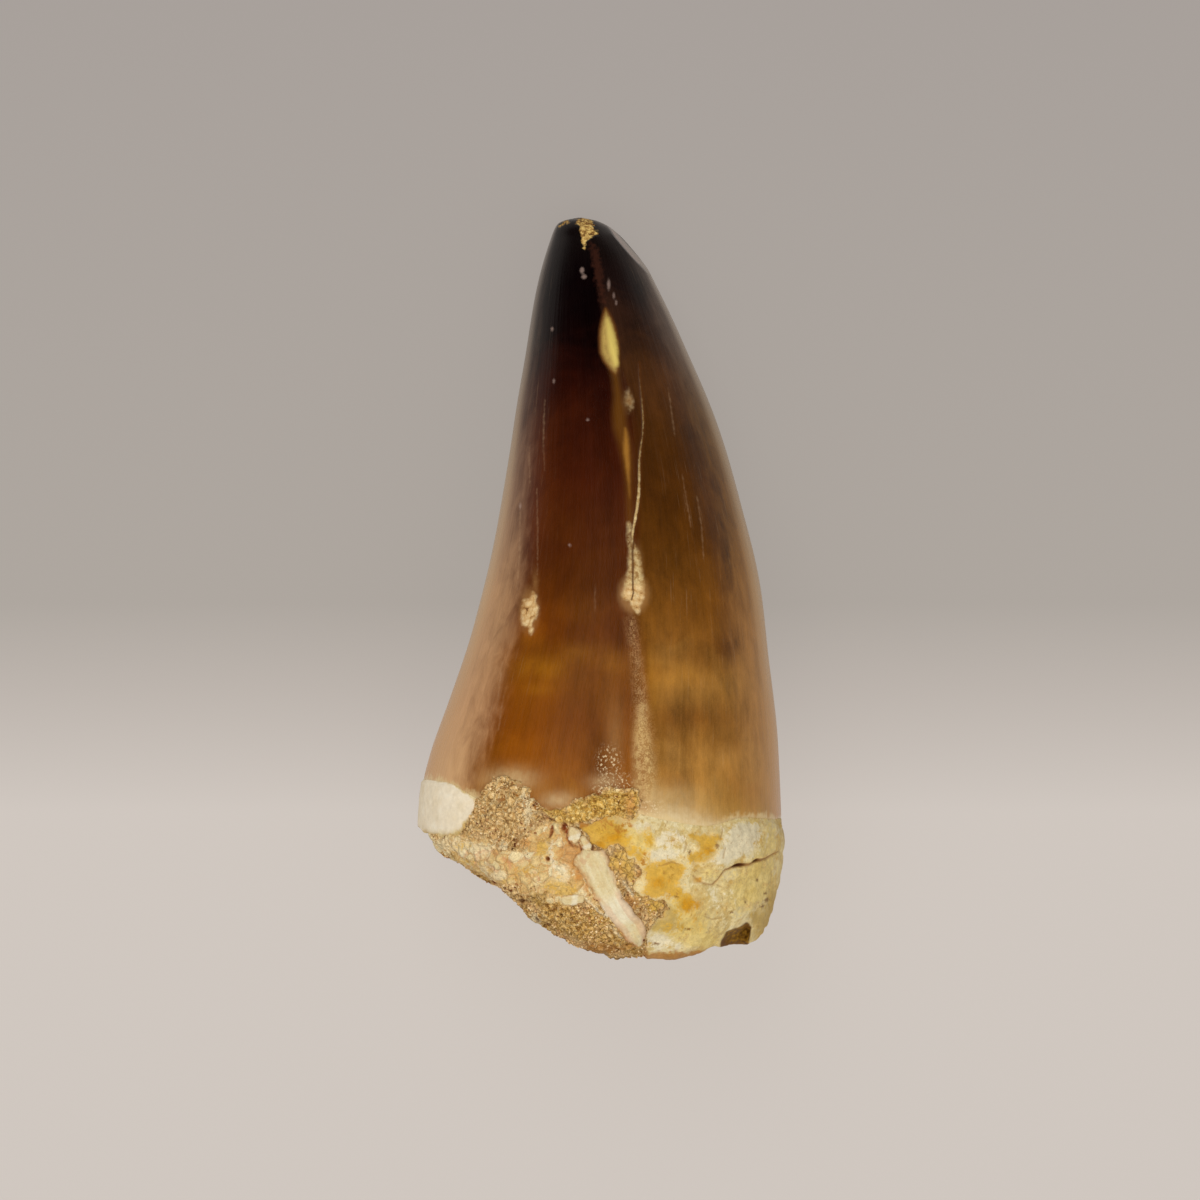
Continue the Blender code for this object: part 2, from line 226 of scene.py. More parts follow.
def upperHeight(x, y):
    # height of the tooth's upper face above (x, y)
    high, belt, left, right = sectionEdges(y)[1:]
    share = np.clip(np.abs(x - (left + right) / 2) / ((right - left) / 2), 0, 0.999)
    up = (1 - share ** toothForm["upperRoundness"]) ** (1 / toothForm["upperRoundness"])
    height = belt + (high - belt) * up + ridgeLift(x, y, up)
    return rollOver(height, rollKeep(y - curves["breakAbove"](x)))


# Soft noise from a lattice of fixed random numbers, in -1 to 1
latticeSize = 32
lattice = np.random.default_rng(11).uniform(-1, 1, (latticeSize, latticeSize, latticeSize))


def softNoise(points, pitch, seed=0):
    place = points * pitch + np.array([seed * 7.31, seed * 3.17, seed * 5.53])
    cell = np.floor(place).astype(int)
    t = place - cell
    t = t * t * (3 - 2 * t)
    total = 0
    for i in (0, 1):
        for j in (0, 1):
            for k in (0, 1):
                weight = (
                    (t[..., 0] if i else 1 - t[..., 0])
                    * (t[..., 1] if j else 1 - t[..., 1])
                    * (t[..., 2] if k else 1 - t[..., 2])
                )
                corner = (cell + np.array([i, j, k])) % latticeSize
                total = total + weight * lattice[corner[..., 0], corner[..., 1], corner[..., 2]]
    return total


def layeredNoise(points, pitch, seed=0, layers=3):
    total, size = 0, 1.0
    for layer in range(layers):
        total = total + softNoise(points, pitch * 2.1 ** layer, seed + layer) * size
        size *= 0.55
    return total


def cellNoise(points, pitch, seed=0):
    # distance to the nearest of many scattered middles, about 0 to 1
    place = points * pitch + np.array([seed * 2.7, seed * 4.9, seed * 1.3])
    cell = np.floor(place).astype(int)
    nearest = np.full(place.shape[:-1], 9.0)
    for i in (-1, 0, 1):
        for j in (-1, 0, 1):
            for k in (-1, 0, 1):
                other = cell + np.array([i, j, k])
                corner = other % latticeSize
                a = lattice[corner[..., 0], corner[..., 1], corner[..., 2]]
                b = lattice[corner[..., 1], corner[..., 2], corner[..., 0]]
                c = lattice[corner[..., 2], corner[..., 0], corner[..., 1]]
                middle = other + 0.5 + 0.45 * np.stack([a, b, c], axis=-1)
                nearest = np.minimum(nearest, ((place - middle) ** 2).sum(-1))
    return np.sqrt(nearest)


# Where the search for the nearest mark starts, in pixels
farPixels = 1e6


def pathGap(column, row, path):
    # distance in millimetres from a path of (column, row, half width) in pixels, negative on it
    gap = np.full(column.shape, farPixels)
    for (c0, r0, w0), (c1, r1, w1) in zip(path, path[1:]):
        dc, dr = c1 - c0, r1 - r0
        t = np.clip(((column - c0) * dc + (row - r0) * dr) / (dc * dc + dr * dr), 0, 1)
        away = np.hypot(column - c0 - t * dc, row - r0 - t * dr)
        gap = np.minimum(gap, away - (w0 + t * (w1 - w0)))
    return gap * view["pixel"]


def areaGap(column, row, outline):
    # distance in millimetres from an outline of (column, row) in pixels, negative inside it
    gap = np.full(column.shape, farPixels)
    inside = np.zeros(column.shape, bool)
    for (c0, r0), (c1, r1) in zip(outline, outline[1:] + outline[:1]):
        dc, dr = c1 - c0, r1 - r0
        t = np.clip(((column - c0) * dc + (row - r0) * dr) / (dc * dc + dr * dr), 0, 1)
        gap = np.minimum(gap, np.hypot(column - c0 - t * dc, row - r0 - t * dr))
        if r0 != r1:
            crossing = c0 + (row - r0) * dc / dr
            inside ^= ((row < r0) != (row < r1)) & (column < crossing)
    return np.where(inside, -gap, gap) * view["pixel"]


def spotGap(column, row, spots):
    # distance in millimetres from the nearest of several oval spots (column, row, half width, half height)
    gap = np.full(column.shape, farPixels)
    for c, r, width, height in spots:
        size = min(width, height)
        gap = np.minimum(gap, (np.hypot((column - c) / width, (row - r) / height) - 1) * size)
    return gap * view["pixel"]


def gridNormals(grid):
    # outward directions on a grid of rings
    around = np.roll(grid, -1, axis=1) - np.roll(grid, 1, axis=1)
    along = np.gradient(grid, axis=0)
    normals = np.cross(around, along)
    normals /= np.maximum(np.linalg.norm(normals, axis=-1, keepdims=True), 1e-9)
    middle = grid.mean(axis=1, keepdims=True)
    if ((grid - middle) * normals).sum() < 0:
        normals = -normals
    return normals


def skin(name, grid, firstPole, lastPole, marks):
    # closes a grid of rings with a pole at each end and makes the mesh, with marks as point attributes
    rows, columns = grid.shape[:2]
    points = np.concatenate([grid.reshape(-1, 3), [firstPole, lastPole]]) * mm
    start = np.arange(rows - 1)[:, None] * columns
    here = np.arange(columns)[None, :]
    after = (here + 1) % columns
    quads = np.stack([start + here, start + after, start + columns + after, start + columns + here], -1)
    first, last = rows * columns, rows * columns + 1
    here, after = here[0], after[0]
    fans = [(first, int(b), int(a)) for a, b in zip(here, after)]
    base = (rows - 1) * columns
    fans += [(last, int(base + a), int(base + b)) for a, b in zip(here, after)]
    faces = quads.reshape(-1, 4).tolist() + fans
    mesh = bpy.data.meshes.new(name)
    mesh.from_pydata(points.tolist(), [], faces)
    if meshVolume(mesh) < 0:
        mesh.flip_normals()
    mesh.shade_smooth()
    for mark, values in marks.items():
        addMark(mesh, mark, values)
    piece = bpy.data.objects.new(name, mesh)
    bpy.context.scene.collection.objects.link(piece)
    return piece


def addMark(mesh, mark, values):
    # stores values as a point attribute; the poles take the value of the ring beside them
    vector = values.ndim == 3
    flat = values.reshape(-1, 3) if vector else values.reshape(-1)
    ends = [values[0].mean(axis=0), values[-1].mean(axis=0)]
    flat = np.concatenate([flat, np.array(ends).reshape(2, -1) if vector else np.array(ends)])
    attribute = mesh.attributes.new(mark, "FLOAT_VECTOR" if vector else "FLOAT", "POINT")
    attribute.data.foreach_set("vector" if vector else "value", flat.astype(np.float32).ravel())


def meshVolume(mesh):
    mesh.calc_loop_triangles()
    corners = np.empty(len(mesh.loop_triangles) * 3, int)
    mesh.loop_triangles.foreach_get("vertices", corners)
    places = np.empty(len(mesh.vertices) * 3)
    mesh.vertices.foreach_get("co", places)
    a, b, c = places.reshape(-1, 3)[corners.reshape(-1, 3)].transpose(1, 0, 2)
    return (a * np.cross(b, c)).sum() / 6


def roundAngles(upper, lower):
    # angles round the tooth, closer together on the upper face
    above = np.linspace(0, pi, upper, endpoint=False)
    return np.concatenate([above, np.linspace(pi, 2 * pi, lower, endpoint=False)])


# Colours are given as they look on a screen, 0 to 255
def tint(red, green, blue):
    parts = np.array([red, green, blue]) / 255
    linear = np.where(parts <= 0.04045, parts / 12.92, ((parts + 0.055) / 1.055) ** 2.4)
    return (*linear.tolist(), 1.0)


class Finish:
    # a material with short ways of adding nodes to it

    def __init__(self, name):
        self.material = bpy.data.materials.new(name)
        self.material.use_nodes = True
        self.tree = self.material.node_tree
        self.shader = self.tree.nodes["Principled BSDF"]

    def plug(self, socket, value):
        if isinstance(value, bpy.types.NodeSocket):
            self.tree.links.new(value, socket)
        else:
            socket.default_value = value

    def node(self, kind, settings=None, **inputs):
        node = self.tree.nodes.new(kind)
        for name, value in (settings or {}).items():
            setattr(node, name, value)
        for name, value in inputs.items():
            self.plug(node.inputs[name.replace("_", " ")], value)
        return node

    def mark(self, name):
        node = self.node("ShaderNodeAttribute", {"attribute_name": name})
        return node.outputs["Vector"] if name == "grain" else node.outputs["Fac"]

    def place(self):
        # object coordinates, in millimetres
        coordinates = self.node("ShaderNodeTexCoord").outputs["Object"]
        mapping = self.node("ShaderNodeMapping", Vector=coordinates, Scale=(1000, 1000, 1000))
        return mapping.outputs["Vector"]

    def stretch(self, vector, scale):
        return self.node("ShaderNodeMapping", Vector=vector, Scale=scale).outputs["Vector"]

    def math(self, operation, first, second=0.0):
        node = self.node("ShaderNodeMath", {"operation": operation})
        self.plug(node.inputs[0], first)
        self.plug(node.inputs[1], second)
        return node.outputs[0]

    def plus(self, first, second):
        return self.math("ADD", first, second)

    def minus(self, first, second):
        return self.math("SUBTRACT", first, second)

    def times(self, first, second):
        return self.math("MULTIPLY", first, second)

    def larger(self, first, second):
        return self.math("MAXIMUM", first, second)

    def smaller(self, first, second):
        return self.math("MINIMUM", first, second)

    def range(self, value, start, end, low=0.0, high=1.0, smooth=True):
        kind = "SMOOTHSTEP" if smooth else "LINEAR"
        node = self.node("ShaderNodeMapRange", {"interpolation_type": kind}, Value=value)
        for name, number in (("From Min", start), ("From Max", end), ("To Min", low), ("To Max", high)):
            node.inputs[name].default_value = number
        return node.outputs["Result"]

    def noise(self, vector, scale, detail=3.0, rough=0.55, twist=0.0):
        node = self.node(
            "ShaderNodeTexNoise",
            Vector=vector,
            Scale=scale,
            Detail=detail,
            Roughness=rough,
            Distortion=twist,
        )
        return node.outputs["Fac"]

    def cells(self, vector, scale, feature="F1", output="Distance"):
        node = self.node("ShaderNodeTexVoronoi", {"feature": feature}, Vector=vector, Scale=scale)
        return node.outputs[output]

    def cellTone(self, vector, scale):
        # one random value for each cell
        colour = self.cells(vector, scale, output="Color")
        return self.node("ShaderNodeSeparateColor", Color=colour).outputs["Red"]

    def twisted(self, vector, scale, amount):
        # the same coordinates pushed about by noise, for ragged patterns
        push = self.node("ShaderNodeTexNoise", Vector=vector, Scale=scale, Detail=3.0).outputs["Color"]
        node = self.node("ShaderNodeVectorMath", {"operation": "MULTIPLY_ADD"})
        for socket, value in zip(node.inputs, (push, (amount, amount, amount), vector)):
            self.plug(socket, value)
        return node.outputs["Vector"]

    def creases(self, vector, scale):
        settings = {"noise_type": "RIDGED_MULTIFRACTAL"}
        node = self.node("ShaderNodeTexNoise", settings, Vector=vector, Scale=scale, Detail=4.0)
        return node.outputs["Fac"]

    def ramp(self, value, stops):
        node = self.node("ShaderNodeValToRGB", Fac=value)
        band = node.color_ramp
        while len(band.elements) < len(stops):
            band.elements.new(0.5)
        for element, (place, colour) in zip(band.elements, stops):
            element.position = place
            element.color = tint(*colour)
        return node.outputs["Color"]

    def blend(self, factor, first, second, kind="MIX"):
        settings = {"data_type": "RGBA", "blend_type": kind, "clamp_factor": True}
        node = self.node("ShaderNodeMix", settings)
        self.plug(node.inputs["Factor"], factor)
        for socket, value in ((node.inputs[6], first), (node.inputs[7], second)):
            self.plug(socket, tint(*value) if isinstance(value, tuple) and len(value) == 3 else value)
        return node.outputs[2]

    def shade(self, colour, amount):
        # makes a colour lighter or darker by a factor that varies over the surface
        node = self.node("ShaderNodeVectorMath", {"operation": "SCALE"}, Vector=colour, Scale=amount)
        return node.outputs["Vector"]

    def centred(self, noise, amount):
        return self.times(self.minus(noise, 0.5), amount)

    def mottled(self, colour, noise, dark, bright):
        return self.shade(colour, self.range(noise, 0.3, 0.7, dark, bright, False))

    def ragged(self, mark, noise, amount, *span):
        # a mask from a marked gap, with its edge made ragged by noise
        return self.range(self.plus(self.mark(mark), self.centred(noise, amount)), *span)

    def stain(self, below, mark, wobble, colour, amount=1.0, soft=0.20):
        # a stain with a ragged edge where the soft field named by the mark is strong
        field = self.mark(mark)
        mask = self.range(self.plus(field, wobble), 0.55 - soft, 0.55 + soft, 0.0, amount)
        return self.blend(self.times(mask, self.range(field, 0.04, 0.30)), below, colour)

    def bump(self, height, depth, strength=1.0, below=None):
        node = self.node("ShaderNodeBump", Height=height, Distance=depth * mm, Strength=strength)
        if below is not None:
            self.plug(node.inputs["Normal"], below)
        return node.outputs["Normal"]

    def settle(self, **inputs):
        for name, value in inputs.items():
            self.plug(self.shader.inputs[name.replace("_", " ")], value)
        return self.material


# Crown

crown = {
    "upperColumns": 320,
    "lowerColumns": 80,
    "rows": 240,
    "crowding": 1.12,
    "topRow": 216.0,
    "bottomRow": 826.0,
    "grainRadius": 14.0,
    "milkSheenFade": 0.45,
    "rimSheenFade": 0.25,
    # depths in millimetres
    "waves": 0.10,
    "grooves": 0.006,
    "chipDepth": 0.10,
    "chipPits": 0.07,
    "strandDepth": 0.04,
    "strandPits": 0.03,
    "fissureDepth": 0.10,
    "tipChipDepth": 0.06,
    "tipChipPits": 0.22,
    "crackDepth": 0.07,
    "edgeDepth": 0.04,
    # the enamel's edge turns in: share of the way to the middle, millimetres along
    "lip": [(0.012, -0.05), (0.035, 0.1), (0.08, 1.5)],
    "tipBeyond": 0.01,
    "closedInside": 3,
    "window": [
        (605.5, 309), (608, 313), (611.5, 319.5), (614.8, 327.5), (617, 338.5), (618.6, 348),
        (618.8, 361), (617.4, 371), (615.2, 374), (609.4, 368), (604, 361), (600.2, 352), (599.6, 339),
        (600.2, 329), (602.4, 319),
    ],
    "windowCore": [(607.5, 320, 1.4), (610.5, 334, 3.6), (613.5, 350, 4.6), (615.8, 364, 2.4)],
    "amber": [
        (613, 366, 2.4), (616, 380, 2.0), (618, 396, 2.8), (619, 412, 5.2), (620, 426, 5.6),
        (624.5, 444, 4.6), (627.5, 464, 3.4), (628.6, 480, 2.2), (629.5, 500, 1.4), (630, 520, 1.4),
    ],
    "amberCore": [
        (625.2, 428, 0.6), (625.8, 436, 2.2), (626.2, 448, 3.0), (627.0, 460, 2.8), (628.0, 472, 1.6),
        (629.2, 486, 0.6), (630.0, 498, 0.1),
    ],
    # crack: row, column, half width in pixels
    "crack": [
        (362, 639.2, 0.3), (376, 639.6, 0.35), (388, 640.9, 0.5), (400, 642.2, 0.7), (412, 643.2, 0.9),
        (424, 643.6, 0.8), (436, 642.8, 0.6), (448, 640.6, 1.0), (462, 639.3, 1.3), (478, 639.2, 1.4),
        (492, 638.8, 1.5), (506, 637.4, 1.6), (520, 635.0, 1.5), (534, 632.4, 1.2), (548, 632.6, 0.5),
        (560, 633.0, 0.2),
    ],
    "strands": [
        [(628.6, 524, 1.4), (630.0, 530, 2.2), (629.0, 538, 1.6), (630.2, 546, 1.0)],
        [(632.0, 542, 1.0), (630.6, 556, 1.7), (630.6, 570, 2.5), (629.6, 584, 5.0)],
        [(634.0, 546, 1.1), (637.0, 558, 3.2), (637.6, 572, 4.2), (637.6, 586, 6.2)],
    ],
    "fissure": [
        (633.2, 540, 0.5), (632.2, 552, 0.8), (633.0, 566, 0.8), (632.6, 580, 0.9), (634.0, 592, 0.9),
        (631.0, 599, 0.7),
    ],
    "chips": [
        [
            (625, 391), (629, 389), (633, 395), (634.5, 403), (632, 411), (629, 412.5), (626.6, 406),
            (622.5, 402), (624.5, 396),
        ],
        [
            (533, 592), (536, 596), (537, 604), (539.5, 610), (538, 616), (535, 620), (533.5, 630),
            (531, 636), (529, 629), (523, 626), (519.5, 620), (522, 608), (524, 599), (529, 596),
        ],
        [
            (622, 592), (627, 585), (633, 582), (641, 585), (646, 592), (645.5, 600), (641.5, 606),
            (641, 612), (637.5, 615), (633, 609), (628, 603), (620, 597),
        ],
    ],
    "chipGlow": [
        (529, 610, 11, 24), (634, 594, 17, 21), (636, 566, 7, 22), (628, 401, 6, 12), (535, 584, 3, 12),
    ],
    "tipChip": [
        (575, 220), (580, 217), (585.5, 217), (593.5, 220), (595.8, 229), (599, 233.7), (591, 237.2),
        (586, 241), (584.5, 248), (582, 243), (580.5, 232.6), (577.6, 226),
    ],
    "tipChipSmall": [(557.5, 226), (561, 220.5), (567, 218), (569, 221), (563, 225), (559.5, 229)],
    "specks": [
        (582.2, 270.5, 2.0, 2.6), (584.2, 277, 2.4, 2.0), (608.6, 285, 1.3, 4.0),
        (613.6, 296, 0.9, 2.0), (616, 303, 0.9, 1.6), (520, 506, 1.0, 2.2), (570.5, 546, 1.0, 1.0),
        (587.6, 419.4, 1.4, 1.2), (569.4, 544.6, 1.1, 1.1), (553.6, 381, 1.0, 1.6),
        (552, 329, 1.2, 1.6),
    ],
    "facet": [
        (611, 226), (620, 231.5), (628, 238), (635, 247.5), (643.5, 261.5), (640, 263), (633.5, 255),
        (626, 244.5), (618, 235),
    ],
    "redStreak": [
        (591, 243, 3.0), (595, 254, 5.0), (597.5, 268, 5.0), (600, 284, 3.6), (603.6, 303, 2.4),
    ],
    "scratchesAndGlints": [
        [(545, 400, 0.1), (544, 420, 0.3), (543.4, 446, 0.4), (544.6, 470, 0.1)],
        [(529.6, 446, 0.1), (529.4, 466, 0.4), (530, 486, 0.1)],
        [(520.4, 502, 0.1), (519.6, 524, 0.3), (519.4, 552, 0.5), (517, 590, 0.1)],
        [(536.6, 488, 0.1), (537.6, 530, 0.3), (537.2, 574, 0.1)],
        [(503, 660, 0.1), (500, 682, 0.5), (498, 700, 0.1)],
        [(504, 696, 0.1), (500, 720, 0.4), (498, 734, 0.1)],
        [(682, 474, 0.1), (686, 500, 0.6), (691, 528, 0.1)],
        [(697, 496, 0.1), (701, 526, 0.5), (704, 558, 0.1)],
        [(668, 388, 0.1), (672, 414, 0.4), (675, 436, 0.1)],
        [(595, 585, 0.1), (595, 602, 0.5), (594.6, 612, 0.1)],
    ],
    "band": [
        (631, 622, 1.2), (634, 640, 1.6), (638, 670, 1.8), (641, 700, 3.6), (643, 730, 7),
        (645, 760, 9), (647, 790, 9), (648, 815, 9),
    ],
    "brightStreaks": [
        [(643, 706, 0.8), (641.6, 722, 2.4), (641.0, 738, 4.0), (638.0, 756, 2.2)],
        [(646, 734, 0.8), (647.4, 752, 3.0), (648, 772, 4.0), (649, 796, 2.6)],
        [(638, 762, 1.2), (639, 784, 2.4), (640, 800, 1.2)],
    ],
    "glitter": [(609, 763, 10, 14), (622, 786, 8, 10), (650, 810, 12, 8), (608, 790, 12, 8)],
    # soft patches: column, row, half width, half height, amount
    "lightPatches": [
        (686, 500, 8, 34, 0.22), (702, 530, 6, 34, 0.14), (727, 640, 14, 18, -0.26),
        (715, 592, 12, 40, 0.12), (728, 548, 9, 46, -0.24), (690, 716, 34, 16, -0.22),
        (668, 726, 10, 26, -0.10), (748, 795, 26, 22, 0.06), (678, 676, 30, 15, 0.22),
        (702, 757, 7, 54, 0.22), (655, 690, 12, 26, 0.12), (664, 560, 14, 26, -0.08),
        (700, 610, 26, 30, 0.10), (590, 330, 12, 60, -0.30), (603, 430, 10, 44, -0.24),
        (610, 500, 8, 40, -0.20), (565, 420, 16, 50, -0.08), (540, 560, 12, 40, 0.04),
        (590, 610, 16, 22, 0.02), (655, 330, 12, 30, -0.20), (640, 290, 10, 26, -0.30),
        (672, 350, 14, 30, -0.08), (655, 400, 10, 26, 0.08), (632, 345, 7, 30, -0.16),
        (648, 450, 8, 30, -0.10), (700, 440, 16, 30, -0.12), (600, 760, 14, 30, -0.18),
        (520, 700, 20, 30, 0.06), (620, 640, 8, 22, -0.24), (735, 700, 14, 40, 0.06),
        (764, 740, 8, 40, 0.10), (550, 740, 46, 50, -0.02), (540, 690, 22, 24, 0.20),
        (528, 752, 24, 34, 0.24), (512, 690, 14, 30, 0.12), (538, 604, 16, 24, 0.20),
        (727, 766, 9, 12, 0.16), (741, 753, 9, 9, 0.12), (712, 779, 8, 10, 0.14),
        (590, 600, 24, 40, -0.14), (726, 652, 16, 13, -0.22), (615, 560, 10, 30, -0.10),
        (534, 520, 11, 34, 0.20), (534, 632, 14, 14, 0.34), (506, 654, 14, 14, 0.20),
        (592, 712, 18, 62, -0.13), (508, 750, 14, 24, 0.12), (664, 400, 12, 40, 0.12),
        (638, 682, 10, 22, -0.14),
    ],
    "goldPatches": [
        (548, 668, 28, 13, 0.46), (580, 652, 16, 10, 0.22), (540, 690, 14, 5, 0.26),
        (470, 656, 26, 14, 0.16), (612, 660, 14, 14, 0.24), (606, 700, 12, 24, 0.08),
        (680, 676, 36, 14, 0.27), (586, 612, 20, 14, 0.06), (641, 730, 8, 20, 0.26),
        (525, 640, 20, 10, 0.12), (615, 735, 10, 34, 0.18), (700, 760, 20, 44, 0.14),
    ],
    "rustPatches": [
        (552, 740, 44, 36, 0.10), (500, 720, 18, 40, 0.10), (692, 718, 34, 14, 0.30),
        (748, 796, 28, 24, 0.30), (727, 648, 13, 16, 0.30), (540, 460, 16, 60, 0.12),
        (676, 780, 20, 12, 0.16), (482, 718, 16, 24, 0.30),
    ],
    "veilPatches": [
        (615, 735, 9, 34, 0.12), (511, 779, 24, 11, 0.66), (486, 800, 14, 8, 0.50),
        (672, 818, 34, 11, 0.84), (652, 800, 16, 14, 0.26), (676, 797, 30, 14, 0.26),
        (706, 826, 22, 7, 0.60), (604, 782, 16, 8, 0.34), (735, 824, 10, 4, 0.50),
        (558, 800, 18, 8, 0.44), (762, 824, 10, 4, 0.30), (500, 640, 10, 30, 0.10),
    ],
    # where the milky rim and its painted reflection start, as (row, share of the half width)
    "milkSheenLeft": [
        (216, 0.98), (300, 0.95), (400, 0.92), (480, 0.86), (560, 0.82), (620, 0.80), (700, 0.78),
        (826, 0.76),
    ],
    "milkSheenRight": [
        (216, 0.84), (300, 0.82), (400, 0.82), (480, 0.88), (560, 0.86), (640, 0.86), (720, 0.86),
        (826, 0.95),
    ],
}


def softField(column, row, spots):
    # a sum of soft oval patches given as (column, row, half width, half height, amount)
    total = 0 * column
    for c, r, width, height, amount in spots:
        total = total + amount * np.exp(-(((column - c) / width) ** 2) - ((row - r) / height) ** 2)
    return total


def manyPaths(column, row, paths):
    return np.minimum.reduce([pathGap(column, row, path) for path in paths])


def crownGrid(angle):
    margin = lineRound(angle, "marginAbove", "marginBelow")
    seen = lambda across: toothForm["tipSeen"] + 0 * across
    tip = underPhoto(seen, toothForm["tipHeight"], np.zeros(1))[0]
    share = (np.arange(crown["rows"]) / (crown["rows"] - 1)) ** crown["crowding"]
    y = tip + (margin[None, :] - tip) * share[:, None]
    return sectionPoint(y, angle[None, :] + 0 * y)


def makeCrown():
    angle = roundAngles(crown["upperColumns"], crown["lowerColumns"])
    grid = crownGrid(angle)
    up = np.sin(angle)[None, :] + 0 * grid[..., 0]
    column, row = photoPlace(grid)
    far = toothForm["farAway"]
    hidden = up < 0.0
    away = lambda gap: np.where(hidden, far, gap)
    shown = ease(-0.05, 0.15, up)
    left, right = sectionEdges(grid[..., 1])[3:]
    share = (grid[..., 0] - (left + right) / 2) / ((right - left) / 2)

    # Below the widest line the milky rim and its painted reflection fade into the dark enamel again
    below = ease(-0.15, -0.75, up)

    # Coordinates that run along the grain, from the tip to the margin
    turn = angle[None, :] + 0 * up
    radius = crown["grainRadius"]
    grain = np.stack([radius * np.cos(turn), radius * np.sin(turn), grid[..., 1] * 0.1], axis=-1)

    ragged = softNoise(grid, 2.6, 3) * 0.14 + softNoise(grid, 6.0, 4) * 0.07
    chips = np.minimum.reduce([areaGap(column, row, outline) for outline in crown["chips"]])
    chipGap = away(chips + ragged)
    smallTipGap = areaGap(column, row, crown["tipChipSmall"]) + 0.05
    tipGap = np.minimum(areaGap(column, row, crown["tipChip"]), smallTipGap)
    tipGap = away(tipGap + softNoise(grid, 3.2, 5) * 0.22 + softNoise(grid, 7.0, 6) * 0.10)
    rows, middles, halves = np.array(crown["crack"]).T
    offset = np.abs(column - np.interp(row, rows, middles)) - np.interp(row, rows, halves)
    beyondEnds = np.maximum(np.maximum(rows[0] - row, row - rows[-1]), 0)
    crackGap = away((offset + beyondEnds) * view["pixel"])
    strandGap = away(manyPaths(column, row, crown["strands"]) + ragged * 0.5)
    leftStart = np.interp(row, *np.array(crown["milkSheenLeft"]).T)
    rightStart = np.interp(row, *np.array(crown["milkSheenRight"]).T)
    marks = {
        "along": (row - crown["topRow"]) / (crown["bottomRow"] - crown["topRow"]),
        "side": seenAcross(grid) - curves["ridge"](seenAlong(grid)),
        "milkAndSheen": np.where(share < 0, -share - leftStart, share - rightStart) - crown["milkSheenFade"] * below,
        "share": share * (1 - crown["rimSheenFade"] * below),
        "grain": grain,
        "chipGap": chipGap,
        "tipGap": tipGap,
        "crackGap": crackGap,
        "strandGap": strandGap,
        "edgeGap": grid[..., 1] - grid[-1:, :, 1],
    }
    for gapOf, names in (
        (areaGap, ("window", "facet")),
        (pathGap, ("windowCore", "amber", "amberCore", "redStreak", "fissure", "band")),
        (manyPaths, ("scratchesAndGlints", "brightStreaks")),
        (spotGap, ("specks", "glitter", "chipGlow")),
    ):
        for name in names:
            marks[name + "Gap"] = away(gapOf(column, row, crown[name]))
    for name in ("light", "gold", "rust", "veil"):
        marks[name] = softField(column, row, crown[name + "Patches"]) * shown

    # Relief: slow waves, fine grooves along the grain, chips, the crack and the enamel's edge
    grooves = softNoise(grain * np.array([1, 1, 0.4]), 2.2, 8) * 0.5
    grooves += softNoise(grain * np.array([1, 1, 0.5]), 4.6, 9) * 0.5
    lift = softNoise(grid, 0.16, 6) * crown["waves"]
    lift += grooves * crown["grooves"] * ease(0.5, 6, 29 - grid[..., 1])
    pits = cellNoise(grid, 2.4, 2)
    lift -= ease(0.08, -0.30, chipGap) * (crown["chipDepth"] + crown["chipPits"] * (1 - pits))
    lift -= ease(0.05, -0.12, strandGap) * (crown["strandDepth"] + crown["strandPits"] * (1 - pits))
    lift -= ease(0.06, -0.04, marks["fissureGap"]) * crown["fissureDepth"]
    tipPits = crown["tipChipPits"] * softNoise(grid, 2.2, 7) ** 2
    lift -= ease(0.05, -0.25, tipGap) * (crown["tipChipDepth"] + tipPits)
    lift -= ease(0.10, -0.05, crackGap) * crown["crackDepth"]
    lift -= ease(0.5, 0.0, marks["edgeGap"]) * crown["edgeDepth"]
    grid = grid + gridNormals(grid) * lift[..., None]

    # The worn flat on the tip's right shoulder
    normal = np.array(toothForm["facetNormal"]) / np.linalg.norm(toothForm["facetNormal"])
    beyond = np.maximum(((grid - np.array(toothForm["facetPoint"])) * normal).sum(-1), 0)
    grid = grid - beyond[..., None] * normal
    grid[..., 2] = np.maximum(grid[..., 2], 0)

    # The edge of the enamel turns in over the root and closes inside it
    rim = grid[-1]
    middle = rim.mean(axis=0)
    lip = [rim + (middle - rim) * inward + np.array([0, along, 0]) for inward, along in crown["lip"]]
    grid = np.concatenate([grid, np.array(lip)])
    marks = {k: np.concatenate([v, np.repeat(v[-1:], len(lip), axis=0)]) for k, v in marks.items()}
    tip = grid[0].mean(axis=0) + np.array([0, crown["tipBeyond"], 0])
    return skin("enamel_crown", grid, tip, middle + np.array([0, crown["closedInside"], 0]), marks)


